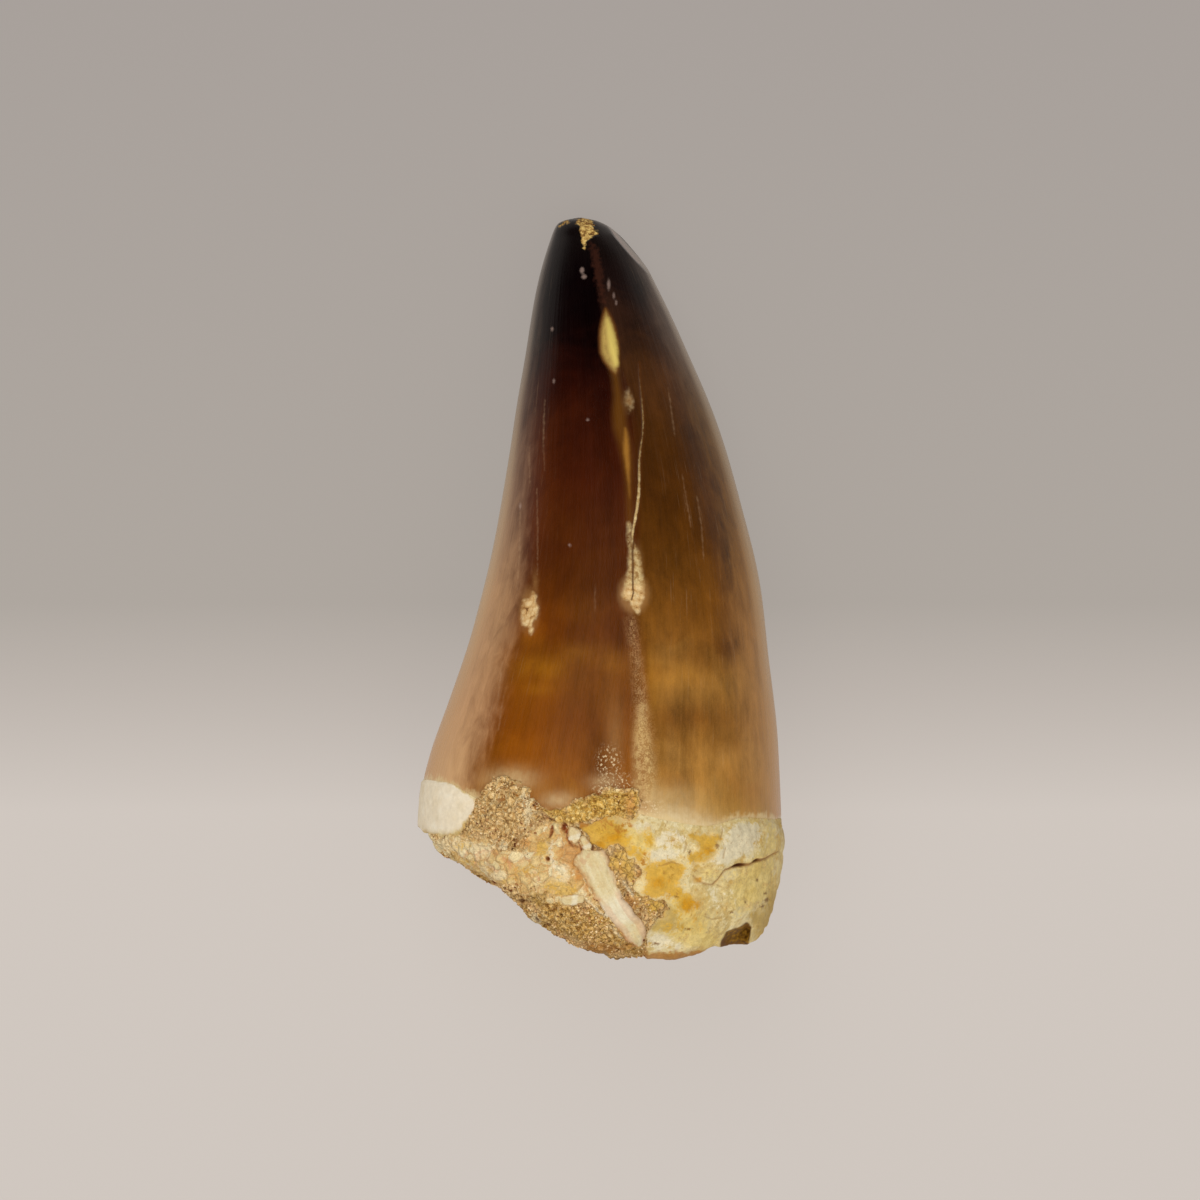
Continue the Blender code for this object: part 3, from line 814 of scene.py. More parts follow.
def enamelFinish():
    f = Finish("fossil_enamel")
    grain = f.mark("grain")
    place = f.place()
    along, side, milkSheenGap = f.mark("along"), f.mark("side"), f.mark("milkAndSheen")

    # Fine and coarse streaks along the grain, cloudy patches and a fine speckle
    fine = f.noise(f.stretch(grain, (4.0, 4.0, 2.2)), 1.0, 4, 0.6)
    coarse = f.noise(f.stretch(grain, (0.9, 0.9, 0.9)), 1.0, 4, 0.55)
    blotch = f.noise(f.stretch(place, (0.75, 0.30, 0.75)), 1.0, 5, 0.62, 0.4)
    cloud = f.noise(place, 0.30, 5, 0.6, 0.6)
    speckle = f.noise(place, 2.4, 3, 0.6)
    dust = f.noise(place, 9.0, 2, 0.6)
    centred = f.centred
    length = f.plus(along, centred(cloud, 0.16))

    wine = f.ramp(length, [
        (0.00, (18, 12, 17)), (0.10, (9, 2, 5)), (0.20, (16, 3, 4)), (0.28, (44, 11, 4)),
        (0.34, (58, 19, 5)), (0.42, (68, 25, 5)), (0.52, (76, 33, 6)), (0.62, (90, 45, 6)),
        (0.68, (106, 56, 8)), (0.76, (122, 71, 13)), (0.84, (124, 70, 14)), (0.92, (142, 86, 26)),
        (1.00, (168, 116, 54)),
    ])
    olive = f.ramp(length, [
        (0.00, (16, 9, 12)), (0.10, (26, 14, 18)), (0.17, (52, 31, 28)), (0.26, (74, 44, 26)),
        (0.36, (74, 42, 13)), (0.44, (76, 42, 8)), (0.54, (92, 54, 12)), (0.62, (110, 68, 22)),
        (0.70, (128, 82, 29)), (0.77, (142, 98, 42)), (0.84, (138, 92, 36)), (0.92, (166, 120, 60)),
        (1.00, (186, 146, 86)),
    ])
    across = f.plus(side, centred(coarse, 1.6))
    base = f.blend(f.range(across, -0.6, 0.8), wine, olive)

    gold = f.plus(f.mark("gold"), f.times(f.mark("gold"), centred(cloud, 2.4)))
    base = f.blend(f.times(gold, 1.3), base, (160, 108, 34))
    rust = f.plus(f.mark("rust"), f.times(f.mark("rust"), centred(blotch, 2.4)))
    base = f.blend(f.times(rust, 1.1), base, (124, 66, 14))
    light = f.plus(f.times(f.mark("light"), 1.2), 1.0)
    rightSide = f.range(side, -0.5, 2.0, 0.35, 0.74)
    light = f.plus(light, f.times(centred(blotch, 1.3), rightSide))
    threads = f.noise(f.stretch(place, (2.6, 0.7, 2.6)), 1.0, 4, 0.7)
    for texture, amount in ((fine, 0.22), (coarse, 0.40), (dust, 0.52), (threads, 0.34)):
        light = f.plus(light, centred(texture, amount))
    base = f.shade(base, light)

    lowRight = f.times(f.range(side, 0.0, 2.0), f.range(along, 0.62, 0.74, 0.0, 0.85))
    lowRight = f.times(lowRight, f.range(along, 0.97, 0.86, 0.2, 1.0))
    base = f.blend(f.minus(1.0, lowRight), base, (245, 235, 180), "MULTIPLY")
    lowLeft = f.times(f.range(side, 0.3, -1.5), f.range(along, 0.55, 0.70))
    base = f.blend(lowLeft, base, (242, 234, 150), "MULTIPLY")

    # The enamel is milky near its edges, most so low down: partly the thin enamel's own colour, partly a
    # painted reflection of the bright surroundings at its grazing edges
    milkAndSheen = f.range(f.plus(milkSheenGap, f.plus(centred(coarse, 0.12), centred(blotch, 0.24))), -0.16, 0.13)
    milkAndSheen = f.times(milkAndSheen, f.range(along, 0.05, 0.60, 0.35, 0.86, False))
    milkSheenLeft = f.ramp(along, [
        (0.0, (78, 66, 60)), (0.20, (96, 76, 62)), (0.32, (124, 96, 74)), (0.48, (160, 122, 90)),
        (0.62, (188, 143, 98)), (0.80, (202, 154, 106)), (1.0, (212, 170, 118)),
    ])
    milkSheenRight = f.ramp(along, [
        (0.0, (88, 76, 70)), (0.20, (116, 95, 78)), (0.32, (122, 88, 46)), (0.48, (142, 95, 34)),
        (0.62, (162, 112, 54)), (0.80, (180, 127, 66)), (1.0, (186, 136, 72)),
    ])
    milkSheenColour = f.blend(f.range(side, -1.0, 1.0), milkSheenLeft, milkSheenRight)
    milkSheenTone = f.plus(1.0, f.plus(centred(fine, 0.20), centred(blotch, 0.26)))
    base = f.blend(milkAndSheen, base, f.shade(milkSheenColour, milkSheenTone))
    # painted reflection: a pale rim along both edges, where glossy enamel would mirror the bright
    # surroundings
    share = f.plus(f.mark("share"), centred(coarse, 0.03))
    rimReflectionColour = f.ramp(along, [
        (0.0, (172, 160, 148)), (0.35, (188, 160, 124)), (0.62, (208, 170, 120)),
        (0.85, (200, 148, 82)), (1.0, (186, 126, 50)),
    ])
    base = f.blend(f.range(share, 0.89, 1.0, 0.0, 0.74), base, rimReflectionColour)
    leftRimReflection = f.times(f.range(share, -0.90, -1.0, 0.0, 0.72), f.range(along, 0.15, 0.45, 0.45, 1.0))
    base = f.blend(leftRimReflection, base, rimReflectionColour)
    # pale streaks: fine scratches, and painted glints along small facets
    scratchAndGlint = f.ragged("scratchesAndGlintsGap", speckle, 0.30, 0.10, -0.10)
    base = f.blend(f.times(scratchAndGlint, 0.20), base, (198, 160, 120))
    hairs = f.range(f.noise(f.stretch(grain, (7.0, 7.0, 3.0)), 1.0, 3, 0.6), 0.60, 0.74)
    hairs = f.times(hairs, f.larger(f.range(milkSheenGap, -0.40, -0.05), f.range(side, 1.0, 4.0, 0.0, 0.8)))
    base = f.blend(f.times(hairs, 0.14), base, (204, 170, 130))

    # Marks of their own: amber glow, worn window, hazy band, crack, chips
    veil = f.plus(f.mark("veil"), f.times(f.mark("veil"), centred(speckle, 1.2)))
    veilColour = f.ramp(along, [(0.7, (160, 122, 76)), (0.9, (196, 164, 112)), (1.0, (216, 192, 146))])
    base = f.blend(f.smaller(veil, 0.92), base, veilColour)
    amber = f.range(f.mark("amberGap"), 0.50, -0.34)
    amber = f.times(amber, f.range(coarse, 0.3, 0.6, 0.6, 1.0))
    base = f.blend(f.times(amber, 0.62), base, (108, 66, 10))
    amberCore = f.ragged("amberCoreGap", speckle, 0.22, 0.18, -0.26)
    base = f.blend(f.times(amberCore, 0.66), base, (174, 120, 42))
    red = f.ragged("redStreakGap", speckle, 1.3, 0.2, -0.35)
    base = f.blend(f.times(red, 0.42), base, (74, 38, 24))
    window = f.mark("windowGap")
    base = f.blend(f.range(window, 0.26, -0.06, 0.0, 0.9), base, (96, 54, 16))
    window = f.plus(window, f.plus(centred(speckle, 0.22), centred(dust, 0.12)))
    windowColour = f.ramp(speckle, [(0.3, (152, 122, 62)), (0.7, (182, 150, 78))])
    base = f.blend(f.range(window, 0.10, -0.36), base, windowColour)
    core = f.ragged("windowCoreGap", speckle, 0.30, 0.22, -0.30)
    base = f.blend(f.times(core, 0.85), base, (214, 190, 98))

    haze = f.range(f.plus(dust, centred(speckle, 0.5)), 0.44, 0.62, 0.08, 1.0)
    haze = f.times(f.range(f.mark("bandGap"), 0.8, -0.5), haze)
    base = f.blend(f.times(haze, 0.52), base, (196, 158, 104))
    bright = f.plus(f.mark("brightStreaksGap"), f.plus(centred(dust, 0.8), centred(speckle, 0.9)))
    bright = f.range(bright, 0.70, -0.55)
    bright = f.times(bright, f.range(f.plus(speckle, centred(dust, 0.5)), 0.36, 0.62, 0.30, 1.0))
    base = f.blend(f.times(bright, 0.76), base, (214, 182, 118))
    glitter = f.range(f.noise(place, 5.0, 2, 0.7), 0.54, 0.62)
    glitter = f.times(f.range(f.mark("glitterGap"), 0.6, -0.4), glitter)
    base = f.blend(f.times(glitter, 0.72), base, (224, 198, 152))
    edge = f.plus(f.mark("edgeGap"), f.plus(centred(blotch, 1.6), centred(speckle, 1.0)))
    base = f.blend(f.range(edge, 0.55, -0.05, 0.0, 0.80), base, (214, 186, 132))

    wobble = f.plus(centred(f.noise(place, 3.0, 4, 0.65), 0.30), centred(dust, 0.06))
    glow = f.range(f.plus(f.mark("chipGlowGap"), wobble), 0.25, -0.55, 0.0, 0.46)
    base = f.blend(glow, base, f.ramp(along, [(0.3, (122, 88, 46)), (0.6, (176, 130, 74))]))
    crack = f.range(f.plus(f.mark("crackGap"), f.times(wobble, 0.55)), 0.03, -0.09)
    crackStrength = f.ramp(along, [
        (0.24, (60, 60, 60)), (0.34, (190, 190, 190)), (0.40, (185, 185, 185)), (0.46, (235, 235, 235)),
    ])
    # painted shadow: the enamel darkens along both sides of the crack
    base = f.blend(f.range(f.mark("crackGap"), 0.22, 0.0, 0.0, 0.5), base, (84, 44, 12))
    fillColour = f.ramp(speckle, [(0.35, (178, 138, 78)), (0.65, (226, 200, 142))])
    base = f.blend(f.times(crack, crackStrength), base, fillColour)
    strand = f.range(f.plus(f.mark("strandGap"), wobble), 0.22, -0.30)
    strand = f.times(strand, f.range(speckle, 0.34, 0.56, 0.45, 1.0))
    strandColour = f.ramp(speckle, [(0.35, (186, 144, 80)), (0.6, (222, 196, 138))])
    base = f.blend(f.times(strand, 0.74), base, strandColour)
    chip = f.range(f.plus(f.mark("chipGap"), wobble), 0.10, -0.30)
    pitted = f.plus(f.cells(place, 2.6), centred(dust, 0.5))
    chipColour = f.ramp(pitted, [
        (0.0, (226, 198, 148)), (0.40, (218, 184, 128)), (0.80, (190, 146, 88)), (1.05, (120, 78, 34)),
    ])
    faintChip = f.range(along, 0.30, 0.40, 0.30, 0.95)
    base = f.blend(f.times(chip, faintChip), base, chipColour)
    base = f.blend(f.range(f.mark("fissureGap"), 0.07, -0.03, 0.0, 0.85), base, (84, 48, 16))
    tip = f.range(f.plus(f.mark("tipGap"), wobble), 0.06, -0.12)
    tipColour = f.ramp(f.noise(place, 3.4, 3, 0.7), [
        (0.36, (84, 54, 22)), (0.48, (160, 118, 58)), (0.60, (218, 184, 108)),
    ])
    base = f.blend(tip, base, tipColour)
    base = f.blend(f.ragged("specksGap", dust, 0.10, 0.10, -0.08, 0.0, 0.42), base, (176, 148, 134))
    base = f.blend(f.times(f.range(f.mark("facetGap"), 0.08, -0.12), 0.85), base, (172, 150, 138))

    worn = f.larger(f.larger(strand, chip), tip)
    gloss = f.larger(f.range(fine, 0.3, 0.7, 0.22, 0.34, False), f.times(worn, 0.75))
    relief = f.bump(fine, 0.02, 0.4)
    relief = f.bump(f.cells(place, 5.0), 0.06, f.times(worn, 0.8), relief)
    return f.settle(Base_Color=base, Roughness=gloss, Normal=relief, IOR=1.5, Specular_IOR_Level=0.34)


# Root

root = {
    "upperColumns": 310,
    "lowerColumns": 100,
    "rows": 140,
    "breakRows": 62,
    "startShare": -0.07,
    "topBeyond": 2.0,
    "hollowInside": 0.5,
    # depths in millimetres
    "nickDepth": 1.7,
    "breakLumps": 0.25,
    "poreDepth": 0.08,
    "capHeight": 0.08,
    "stoneDip": 0.8,
    "plateLift": 0.20,
    "flakeDepth": 0.12,
    "openDepth": 0.34,
    "hairDepth": 0.05,
    "pitDepth": 0.5,
    "tuck": 0.5,
    "cap": [
        (405, 779), (425.7, 779), (433, 779), (443, 782), (451.4, 783.6), (457, 788), (461.4, 792),
        (468.6, 795), (475.7, 798), (475, 807), (473, 814), (467, 821.4), (461.4, 827), (455.7, 833),
        (445, 836), (430, 834), (405, 828),
    ],
    # soft stains: column, row, half width, half height, amount
    "yellow": [
        (600, 828, 15, 12, 1.2), (616, 840, 17, 14, 1.2), (597, 841, 10, 9, 0.7),
        (663, 880, 17, 16, 1.25), (672, 868, 12, 10, 0.7), (652, 892, 10, 7, 0.7),
        (709, 846, 8, 12, 1.0), (698, 858, 9, 6, 0.6), (693, 836, 5, 7, 0.7), (648, 838, 6, 12, 0.6),
        (630, 852, 9, 7, 0.45), (646, 866, 8, 8, 0.45), (654, 876, 10, 7, 0.5), (676, 892, 8, 7, 0.45),
        (686, 900, 8, 7, 0.5), (680, 912, 6, 9, 0.45), (672, 928, 11, 8, 0.6), (690, 906, 11, 9, 0.8),
        (696, 926, 10, 6, 0.5), (694, 858, 8, 8, 0.5), (702, 842, 6, 8, 0.6), (716, 838, 8, 5, 0.5),
        (588, 834, 8, 7, 0.7), (640, 856, 6, 5, 0.6),
    ],
    "orange": [
        (612, 838, 9, 7, 1.0), (688, 907, 6, 7, 1.1), (698, 904, 5, 6, 1.0), (660, 882, 9, 7, 0.75),
        (709, 850, 6, 6, 0.9), (668, 896, 5, 4, 0.6), (700, 856, 4, 4, 0.6), (697, 880, 5, 3.5, 0.7),
        (695, 918, 4, 5, 0.6), (602, 846, 5, 4, 0.5),
    ],
    "lemon": [
        (693, 918, 18, 16, 0.9), (735, 895, 26, 24, 0.55), (765, 840, 14, 20, 0.8),
        (760, 880, 18, 26, 0.9), (662, 925, 20, 10, 0.7), (630, 838, 14, 16, 0.9),
        (648, 842, 10, 14, 0.7), (700, 940, 34, 10, 0.9), (740, 822, 22, 5, 0.7),
        (686, 862, 12, 10, 0.5), (676, 900, 10, 18, 0.6), (710, 872, 14, 8, 0.5),
    ],
    "white": [
        (664, 856, 17, 7, 1.1), (743, 836, 20, 16, 1.2), (730, 852, 14, 9, 0.9), (656, 941, 14, 9, 0.9),
        (672, 838, 14, 12, 0.7), (640, 826, 10, 8, 0.6), (715, 862, 12, 7, 0.6),
        (720, 900, 16, 20, 0.45), (678, 946, 16, 6, 0.5),
    ],
    "pink": [
        (673, 839, 14, 11, 0.9), (716, 826, 10, 6, 0.5), (688, 872, 10, 6, 0.4), (648, 826, 9, 7, 0.5),
    ],
    "olive": [
        (666, 926, 18, 7, 1.0), (774, 908, 9, 20, 0.9), (765, 930, 12, 14, 1.1), (752, 916, 8, 8, 0.5),
        (780, 830, 5, 20, 0.5), (655, 910, 5, 12, 0.5), (668, 913, 12, 9, 0.9),
    ],
    # the brown along the lower edge is painted shade where the root rolls under; the others are brown
    # stains
    "brown": [
        (677, 956, 22, 5, 1.2), (640, 958, 22, 4, 1.0), (700, 952, 10, 4, 0.8), (768, 936, 6, 12, 0.5),
        (614, 862, 4, 9, 0.6), (598, 824, 18, 10, 0.34), (624, 826, 13, 10, 0.34),
        (646, 927, 3.4, 4.6, 0.9), (600, 955, 16, 4, 0.8), (584, 824, 6, 3, 0.8),
        (644, 862, 3, 10, 0.6), (758, 945, 10, 4, 0.8),
    ],
    "flake": [
        (694, 876, 0.3), (696.4, 878.6, 0.4), (700, 881.4, 0.5), (703, 883, 0.5), (707, 884.3, 0.5),
        (713, 885, 0.5), (718, 880, 0.5), (722, 874.3, 0.5), (725, 870, 0.6), (730, 868.6, 0.9),
        (734.3, 866.4, 1.3), (741.4, 865, 1.7), (748.6, 864.5, 1.2), (752, 862.5, 0.8),
        (756, 860.2, 1.6), (760, 860, 1.1), (767, 858.6, 0.7), (773, 854.3, 0.5), (778, 851, 0.4),
    ],
    "flakeOpen": [(734, 866.2, 0.3), (737, 865.6, 1.2), (741.4, 865, 1.6), (745.5, 864.8, 0.6)],
    "flakeOpenTwo": [(753.6, 861.4, 0.4), (756, 860.2, 1.2), (758.6, 859.8, 0.5)],
    "flakeBand": [(700, 862, 14), (730, 848, 16), (770, 838, 14)],
    "hairCracks": [
        [(641, 815, 0.2), (660, 817, 0.3), (690, 814, 0.2)],
        [(665, 827, 0.2), (668, 820, 0.3), (671, 816, 0.2)],
        [(692, 868, 0.2), (700, 873, 0.3), (706, 872, 0.2), (712, 876, 0.2)],
        [(716, 884, 0.2), (724, 888, 0.3), (731, 887, 0.2)],
        [(650, 862, 0.3), (661, 866, 0.4), (672, 862, 0.4), (683, 866, 0.3)],
        [(676, 890, 0.2), (679, 902, 0.4), (677, 914, 0.3)],
        [(655, 829, 0.2), (657, 839, 0.3), (655, 848, 0.2)],
        [(703, 916, 0.2), (713, 920, 0.3), (722, 918, 0.2)],
        [(684, 834, 0.2), (687, 845, 0.4), (684, 853, 0.3)],
        [(722, 826, 0.2), (720, 838, 0.4), (724, 848, 0.3), (722, 858, 0.2)],
    ],
    "nick": [
        (719, 1000), (720, 941.4), (725.7, 931.4), (733, 928.6), (740, 925.7), (745.7, 922), (750, 923),
        (752, 927), (751.4, 934.3), (750, 941.4), (750, 1000),
    ],
    # where the nick's painted shade is darkest
    "nickTip": [(748, 926, 5, 6, 1.0), (722, 941, 6, 5, 1.3), (738, 944, 12, 3, 0.9)],
    "pit": [(565, 828, 3.2, 5), (571, 832, 1.6, 2.0)],
    "darkDots": [
        (767, 900, 3, 2.0), (762, 906, 2, 1.6), (764, 893, 1.6, 1.2), (676, 897, 2, 1),
        (656, 944, 2.4, 1.2), (688, 929, 2, 1), (757, 880, 1.2, 1.2), (744, 902, 1.2, 1),
        (731, 912, 1.4, 1), (716, 846, 1.4, 2), (690, 852, 1.4, 2),
    ],
}


def rootGrid(angle, part):
    # the root's surface from under the enamel to the rim, and then the broken face
    margin = lineRound(angle, "marginAbove", "marginBelow")
    end = lineRound(angle, "breakAbove", "breakBelow", toothForm["rollKeep"])
    share = np.linspace(part["startShare"], 1, part["rows"])[:, None]
    y = margin[None, :] + (end - margin)[None, :] * share
    grid = sectionPoint(y, angle[None, :] + 0 * y)
    left, right = sectionEdges(y)[3:]
    middle = np.stack([(left + right) / 2, y, 0 * y + toothForm["hollow"][2]], axis=-1)
    inward = middle - grid
    inward /= np.linalg.norm(inward, axis=-1, keepdims=True)
    grid = grid + inward * toothForm["enamelStep"]
    grid[..., 2] = rollOver(grid[..., 2], rollKeep(y - end[None, :]))
    hollow = np.array(toothForm["hollow"])
    dish = [grid]
    for step in range(1, part["breakRows"]):
        t = (step / part["breakRows"]) ** toothForm["breakCrowding"]
        ring = grid[-1] + (hollow - grid[-1]) * t
        ring[:, 1] = hollow[1] + toothForm["hollowDepth"] * np.sin(t * pi / 2)
        ring[:, 1] += (grid[-1, :, 1] - hollow[1]) * (1 - t) ** 2
        dish.append(ring[None])
    onBreak = np.zeros(sum(len(d) for d in dish))
    onBreak[part["rows"]:] = 1
    return np.concatenate(dish), share, onBreak[:, None] + 0 * np.concatenate(dish)[..., 0]


def closingPoints(grid, part):
    # one point inside the enamel and one in the hollow, which close the skin
    top = grid[0].mean(axis=0) + np.array([0, part["topBeyond"], 0])
    inside = np.array([0, toothForm["hollowDepth"] - part["hollowInside"], 0])
    return top, np.array(toothForm["hollow"]) + inside


def sinkNick(grid, deeper=0.0):
    # the hollow nick at the root's lower right, open towards the broken end
    column, row = photoPlace(grid)
    gap = areaGap(column, row, root["nick"]) + softNoise(grid, 2.5, 33) * 0.06
    high = ease(10, 17, grid[..., 2])
    grid[..., 2] -= (root["nickDepth"] + deeper) * ease(0.10 + deeper, -0.60, gap) * high
    return np.where(grid[..., 2] > 9, gap, toothForm["farAway"])


def makeRoot():
    angle = roundAngles(root["upperColumns"], root["lowerColumns"])
    grid, share, onBreak = rootGrid(angle, root)
    column, row = photoPlace(grid)
    up = np.sin(angle)[None, :] + 0 * column
    far = toothForm["farAway"]
    hidden = (up < -0.02) | (onBreak > 0.5)
    away = lambda gap: np.where(hidden, far, gap)
    gap = stoneGap(grid, onBreak)
    cap = areaGap(column, row, root["cap"]) + softNoise(grid, 1.6, 31) * 0.14
    flake = away(pathGap(column, row, root["flake"]))
    opening = away(manyPaths(column, row, [root["flakeOpen"], root["flakeOpenTwo"]]))
    hair = away(manyPaths(column, row, root["hairCracks"]) + softNoise(grid, 2.5, 34) * 0.05)
    pit = away(spotGap(column, row, root["pit"]))
    marks = {
        "stoneGap": gap,
        "capGap": np.where(onBreak > 0.5, far, cap + np.maximum(0.1 - up, 0) * 3),
        "capRow": row / view["pictureRows"],
        "flakeGap": flake,
        "openGap": opening,
        "hairGap": hair,
        "pitGap": pit,
        "nickTip": softField(column, row, root["nickTip"]),
        "dotGap": away(spotGap(column, row, root["darkDots"])),
        "onBreak": onBreak,
    }
    for stain in ("yellow", "orange", "lemon", "white", "pink", "olive", "brown"):
        marks[stain] = np.where(hidden, 0, softField(column, row, root[stain]))

    # Relief: lumps and pits, less on the smooth cap, the proud flake above its crack, and the nick
    lumps = layeredNoise(grid, 0.32, 41) * 0.15 + layeredNoise(grid, 1.1, 45) * 0.07
    lumps += layeredNoise(grid, 2.6, 46) * 0.025
    lumps += onBreak * layeredNoise(grid, 0.5, 49) * root["breakLumps"]
    pores = ease(0.45, 0.15, cellNoise(grid, 1.3, 5)) * root["poreDepth"]
    pores *= ease(0.0, 0.35, softNoise(grid, 0.35, 47))
    smoothness = ease(0.4, -0.4, marks["capGap"])
    lift = (lumps - pores) * (1 - 0.8 * smoothness) + root["capHeight"] * smoothness
    plate = away(pathGap(column, row, root["flakeBand"]))
    columns, rows = np.array(root["flake"]).T[:2]
    above = ease(2.0, -2.0, row - np.interp(column, columns, rows))
    lift += root["plateLift"] * above * ease(0.8, -0.4, plate) * ease(694, 724, column)
    lift -= root["flakeDepth"] * ease(0.10, -0.06, flake)
    lift -= root["openDepth"] * ease(0.10, -0.08, opening)
    lift -= root["hairDepth"] * ease(0.08, -0.02, hair)
    lift -= root["pitDepth"] * ease(0.1, -0.15, pit)
    lift -= root["stoneDip"] * ease(-0.05, -0.35, gap)
    fade = ease(0.0, 0.06, share + 0 * up[: len(share)])
    lift[: len(share)] *= fade
    grid = grid + gridNormals(grid) * lift[..., None]
    marks["nickGap"] = sinkNick(grid)

    # Under the enamel the root draws in
    tuck = ease(0.0, root["startShare"], share) * root["tuck"]
    middle = grid[: len(share)].mean(axis=1, keepdims=True)
    inward = middle - grid[: len(share)]
    inward /= np.linalg.norm(inward, axis=-1, keepdims=True)
    grid[: len(share)] += inward * tuck[..., None]
    grid[..., 2] = np.maximum(grid[..., 2], 0)
    return skin("root_bone", grid, *closingPoints(grid, root), marks)


def boneFinish():
    f = Finish("fossil_root_bone")
    place = f.place()
    cloud = f.noise(place, 0.32, 5, 0.65, 0.3)
    patch = f.noise(place, 0.95, 6, 0.72, 0.4)
    grit = f.noise(place, 2.6, 4, 0.65)
    dust = f.noise(place, 7.0, 3, 0.65)
    centred = f.centred
    wobble = f.plus(centred(patch, 2.6), f.plus(centred(grit, 1.5), centred(dust, 0.5)))

    cracks = f.creases(f.twisted(place, 0.8, 0.5), 0.42)
    plates = f.cellTone(f.twisted(place, 0.9, 0.9), 0.62)
    tone = f.plus(f.times(cloud, 0.6), f.times(plates, 0.4))
    base = f.ramp(tone, [
        (0.30, (206, 176, 110)), (0.42, (216, 192, 132)), (0.55, (224, 204, 152)),
        (0.72, (212, 180, 108)),
    ])
    mottle = f.plus(patch, centred(grit, 0.5))
    base = f.blend(f.range(mottle, 0.50, 0.62, 0.0, 0.60), base, (234, 219, 172))
    base = f.blend(f.range(mottle, 0.45, 0.34, 0.0, 0.60), base, (210, 164, 76))
    for mark, colour, amount, soft in (
        ("lemon", (222, 192, 108), 0.70, 0.22),
        ("pink", (218, 194, 150), 0.80, 0.22),
        ("white", (224, 209, 172), 0.92, 0.22),
        ("olive", (186, 152, 76), 0.80, 0.30),
        ("yellow", (206, 158, 50), 0.90, 0.30),
    ):
        base = f.stain(base, mark, wobble, colour, amount, soft)
    deepYellow = f.times(f.mark("yellow"), f.range(patch, 0.56, 0.66, 0.0, 0.6))
    base = f.blend(deepYellow, base, (176, 124, 24))
    base = f.stain(base, "orange", wobble, (196, 136, 16), 0.85, 0.42)
    # brown stains, and painted shade along the root's lower edge
    base = f.stain(base, "brown", wobble, (170, 110, 36), 0.85, 0.24)
    base = f.shade(base, f.range(f.mark("capRow"), 0.690, 0.704, 0.92, 1.0))
    base = f.mottled(base, grit, 0.86, 1.10)
    base = f.mottled(base, dust, 0.90, 1.08)
    freckle = f.range(f.noise(place, 4.2, 3, 0.7), 0.57, 0.68, 0.0, 0.6)
    base = f.blend(f.times(freckle, f.range(patch, 0.58, 0.44)), base, (158, 108, 44))

    hiddenSide = f.range(f.noise(place, 0.9, 4, 0.7), 0.52, 0.70)
    rough = f.times(f.mark("onBreak"), 0.8)
    base = f.blend(f.times(hiddenSide, rough), base, (172, 132, 84))

    capEdge = f.plus(f.mark("capGap"), centred(grit, 0.5))
    capFoot = f.ragged("capRow", patch, 0.012, 0.6975, 0.6890, 0.25, 1.0)
    cap = f.times(f.range(capEdge, 0.08, -0.16), capFoot)
    capColour = f.ramp(f.noise(place, 0.7, 4, 0.65), [
        (0.3, (224, 206, 172)), (0.55, (236, 221, 192)), (0.75, (242, 231, 206)),
    ])
    base = f.blend(cap, base, f.mottled(capColour, grit, 0.93, 1.05))
    edge = f.range(f.mark("stoneGap"), 0.30, 0.0, 0.0, 0.40)
    base = f.blend(f.times(edge, f.range(grit, 0.40, 0.60)), base, (192, 144, 78))
    # the nick's hollow: partly its own dark brown, partly painted shade, darkest at its top right corner
    nick = f.range(f.mark("nickGap"), 0.05, -0.14)
    nickShadeColour = f.ramp(grit, [(0.38, (84, 50, 2)), (0.50, (126, 86, 10)), (0.62, (158, 114, 30))])
    base = f.blend(nick, base, f.blend(f.times(f.mark("nickTip"), 0.7), nickShadeColour, (104, 62, 4)))
    for mark, start, end, amount, colour in (
        ("flakeGap", 0.14, -0.02, 0.5, (176, 132, 74)),
        ("flakeGap", 0.03, -0.05, 0.8, (150, 104, 54)),
        # painted shadow in the crack's open parts, under the lifted flake
        ("openGap", 0.06, -0.06, 1.0, (104, 56, 26)),
        ("hairGap", 0.05, 0.0, 0.5, (160, 116, 58)),
        ("pitGap", 0.10, -0.10, 1.0, (126, 42, 14)),
    ):
        base = f.blend(f.range(f.mark(mark), start, end, 0.0, amount), base, colour)
    dots = f.ragged("dotGap", dust, 0.4, 0.10, -0.08, 0.0, 0.85)
    base = f.blend(dots, base, (124, 82, 26))

    crackTone = f.times(f.range(cracks, 1.25, 1.75), f.range(cap, 0.6, 0.1, 0.05, 0.45))
    base = f.blend(crackTone, base, (176, 126, 64))
    relief = f.bump(f.range(cracks, 1.8, 0.9), 0.12, 0.5)
    relief = f.bump(plates, 0.14, 0.4, relief)
    relief = f.bump(grit, 0.10, 0.6, relief)
    relief = f.bump(dust, 0.05, 0.5, relief)
    matt = f.range(grit, 0.3, 0.7, 0.60, 0.85, False)
    return f.settle(Base_Color=base, Roughness=matt, Normal=relief, IOR=1.5, Specular_IOR_Level=0.30)


# Stone

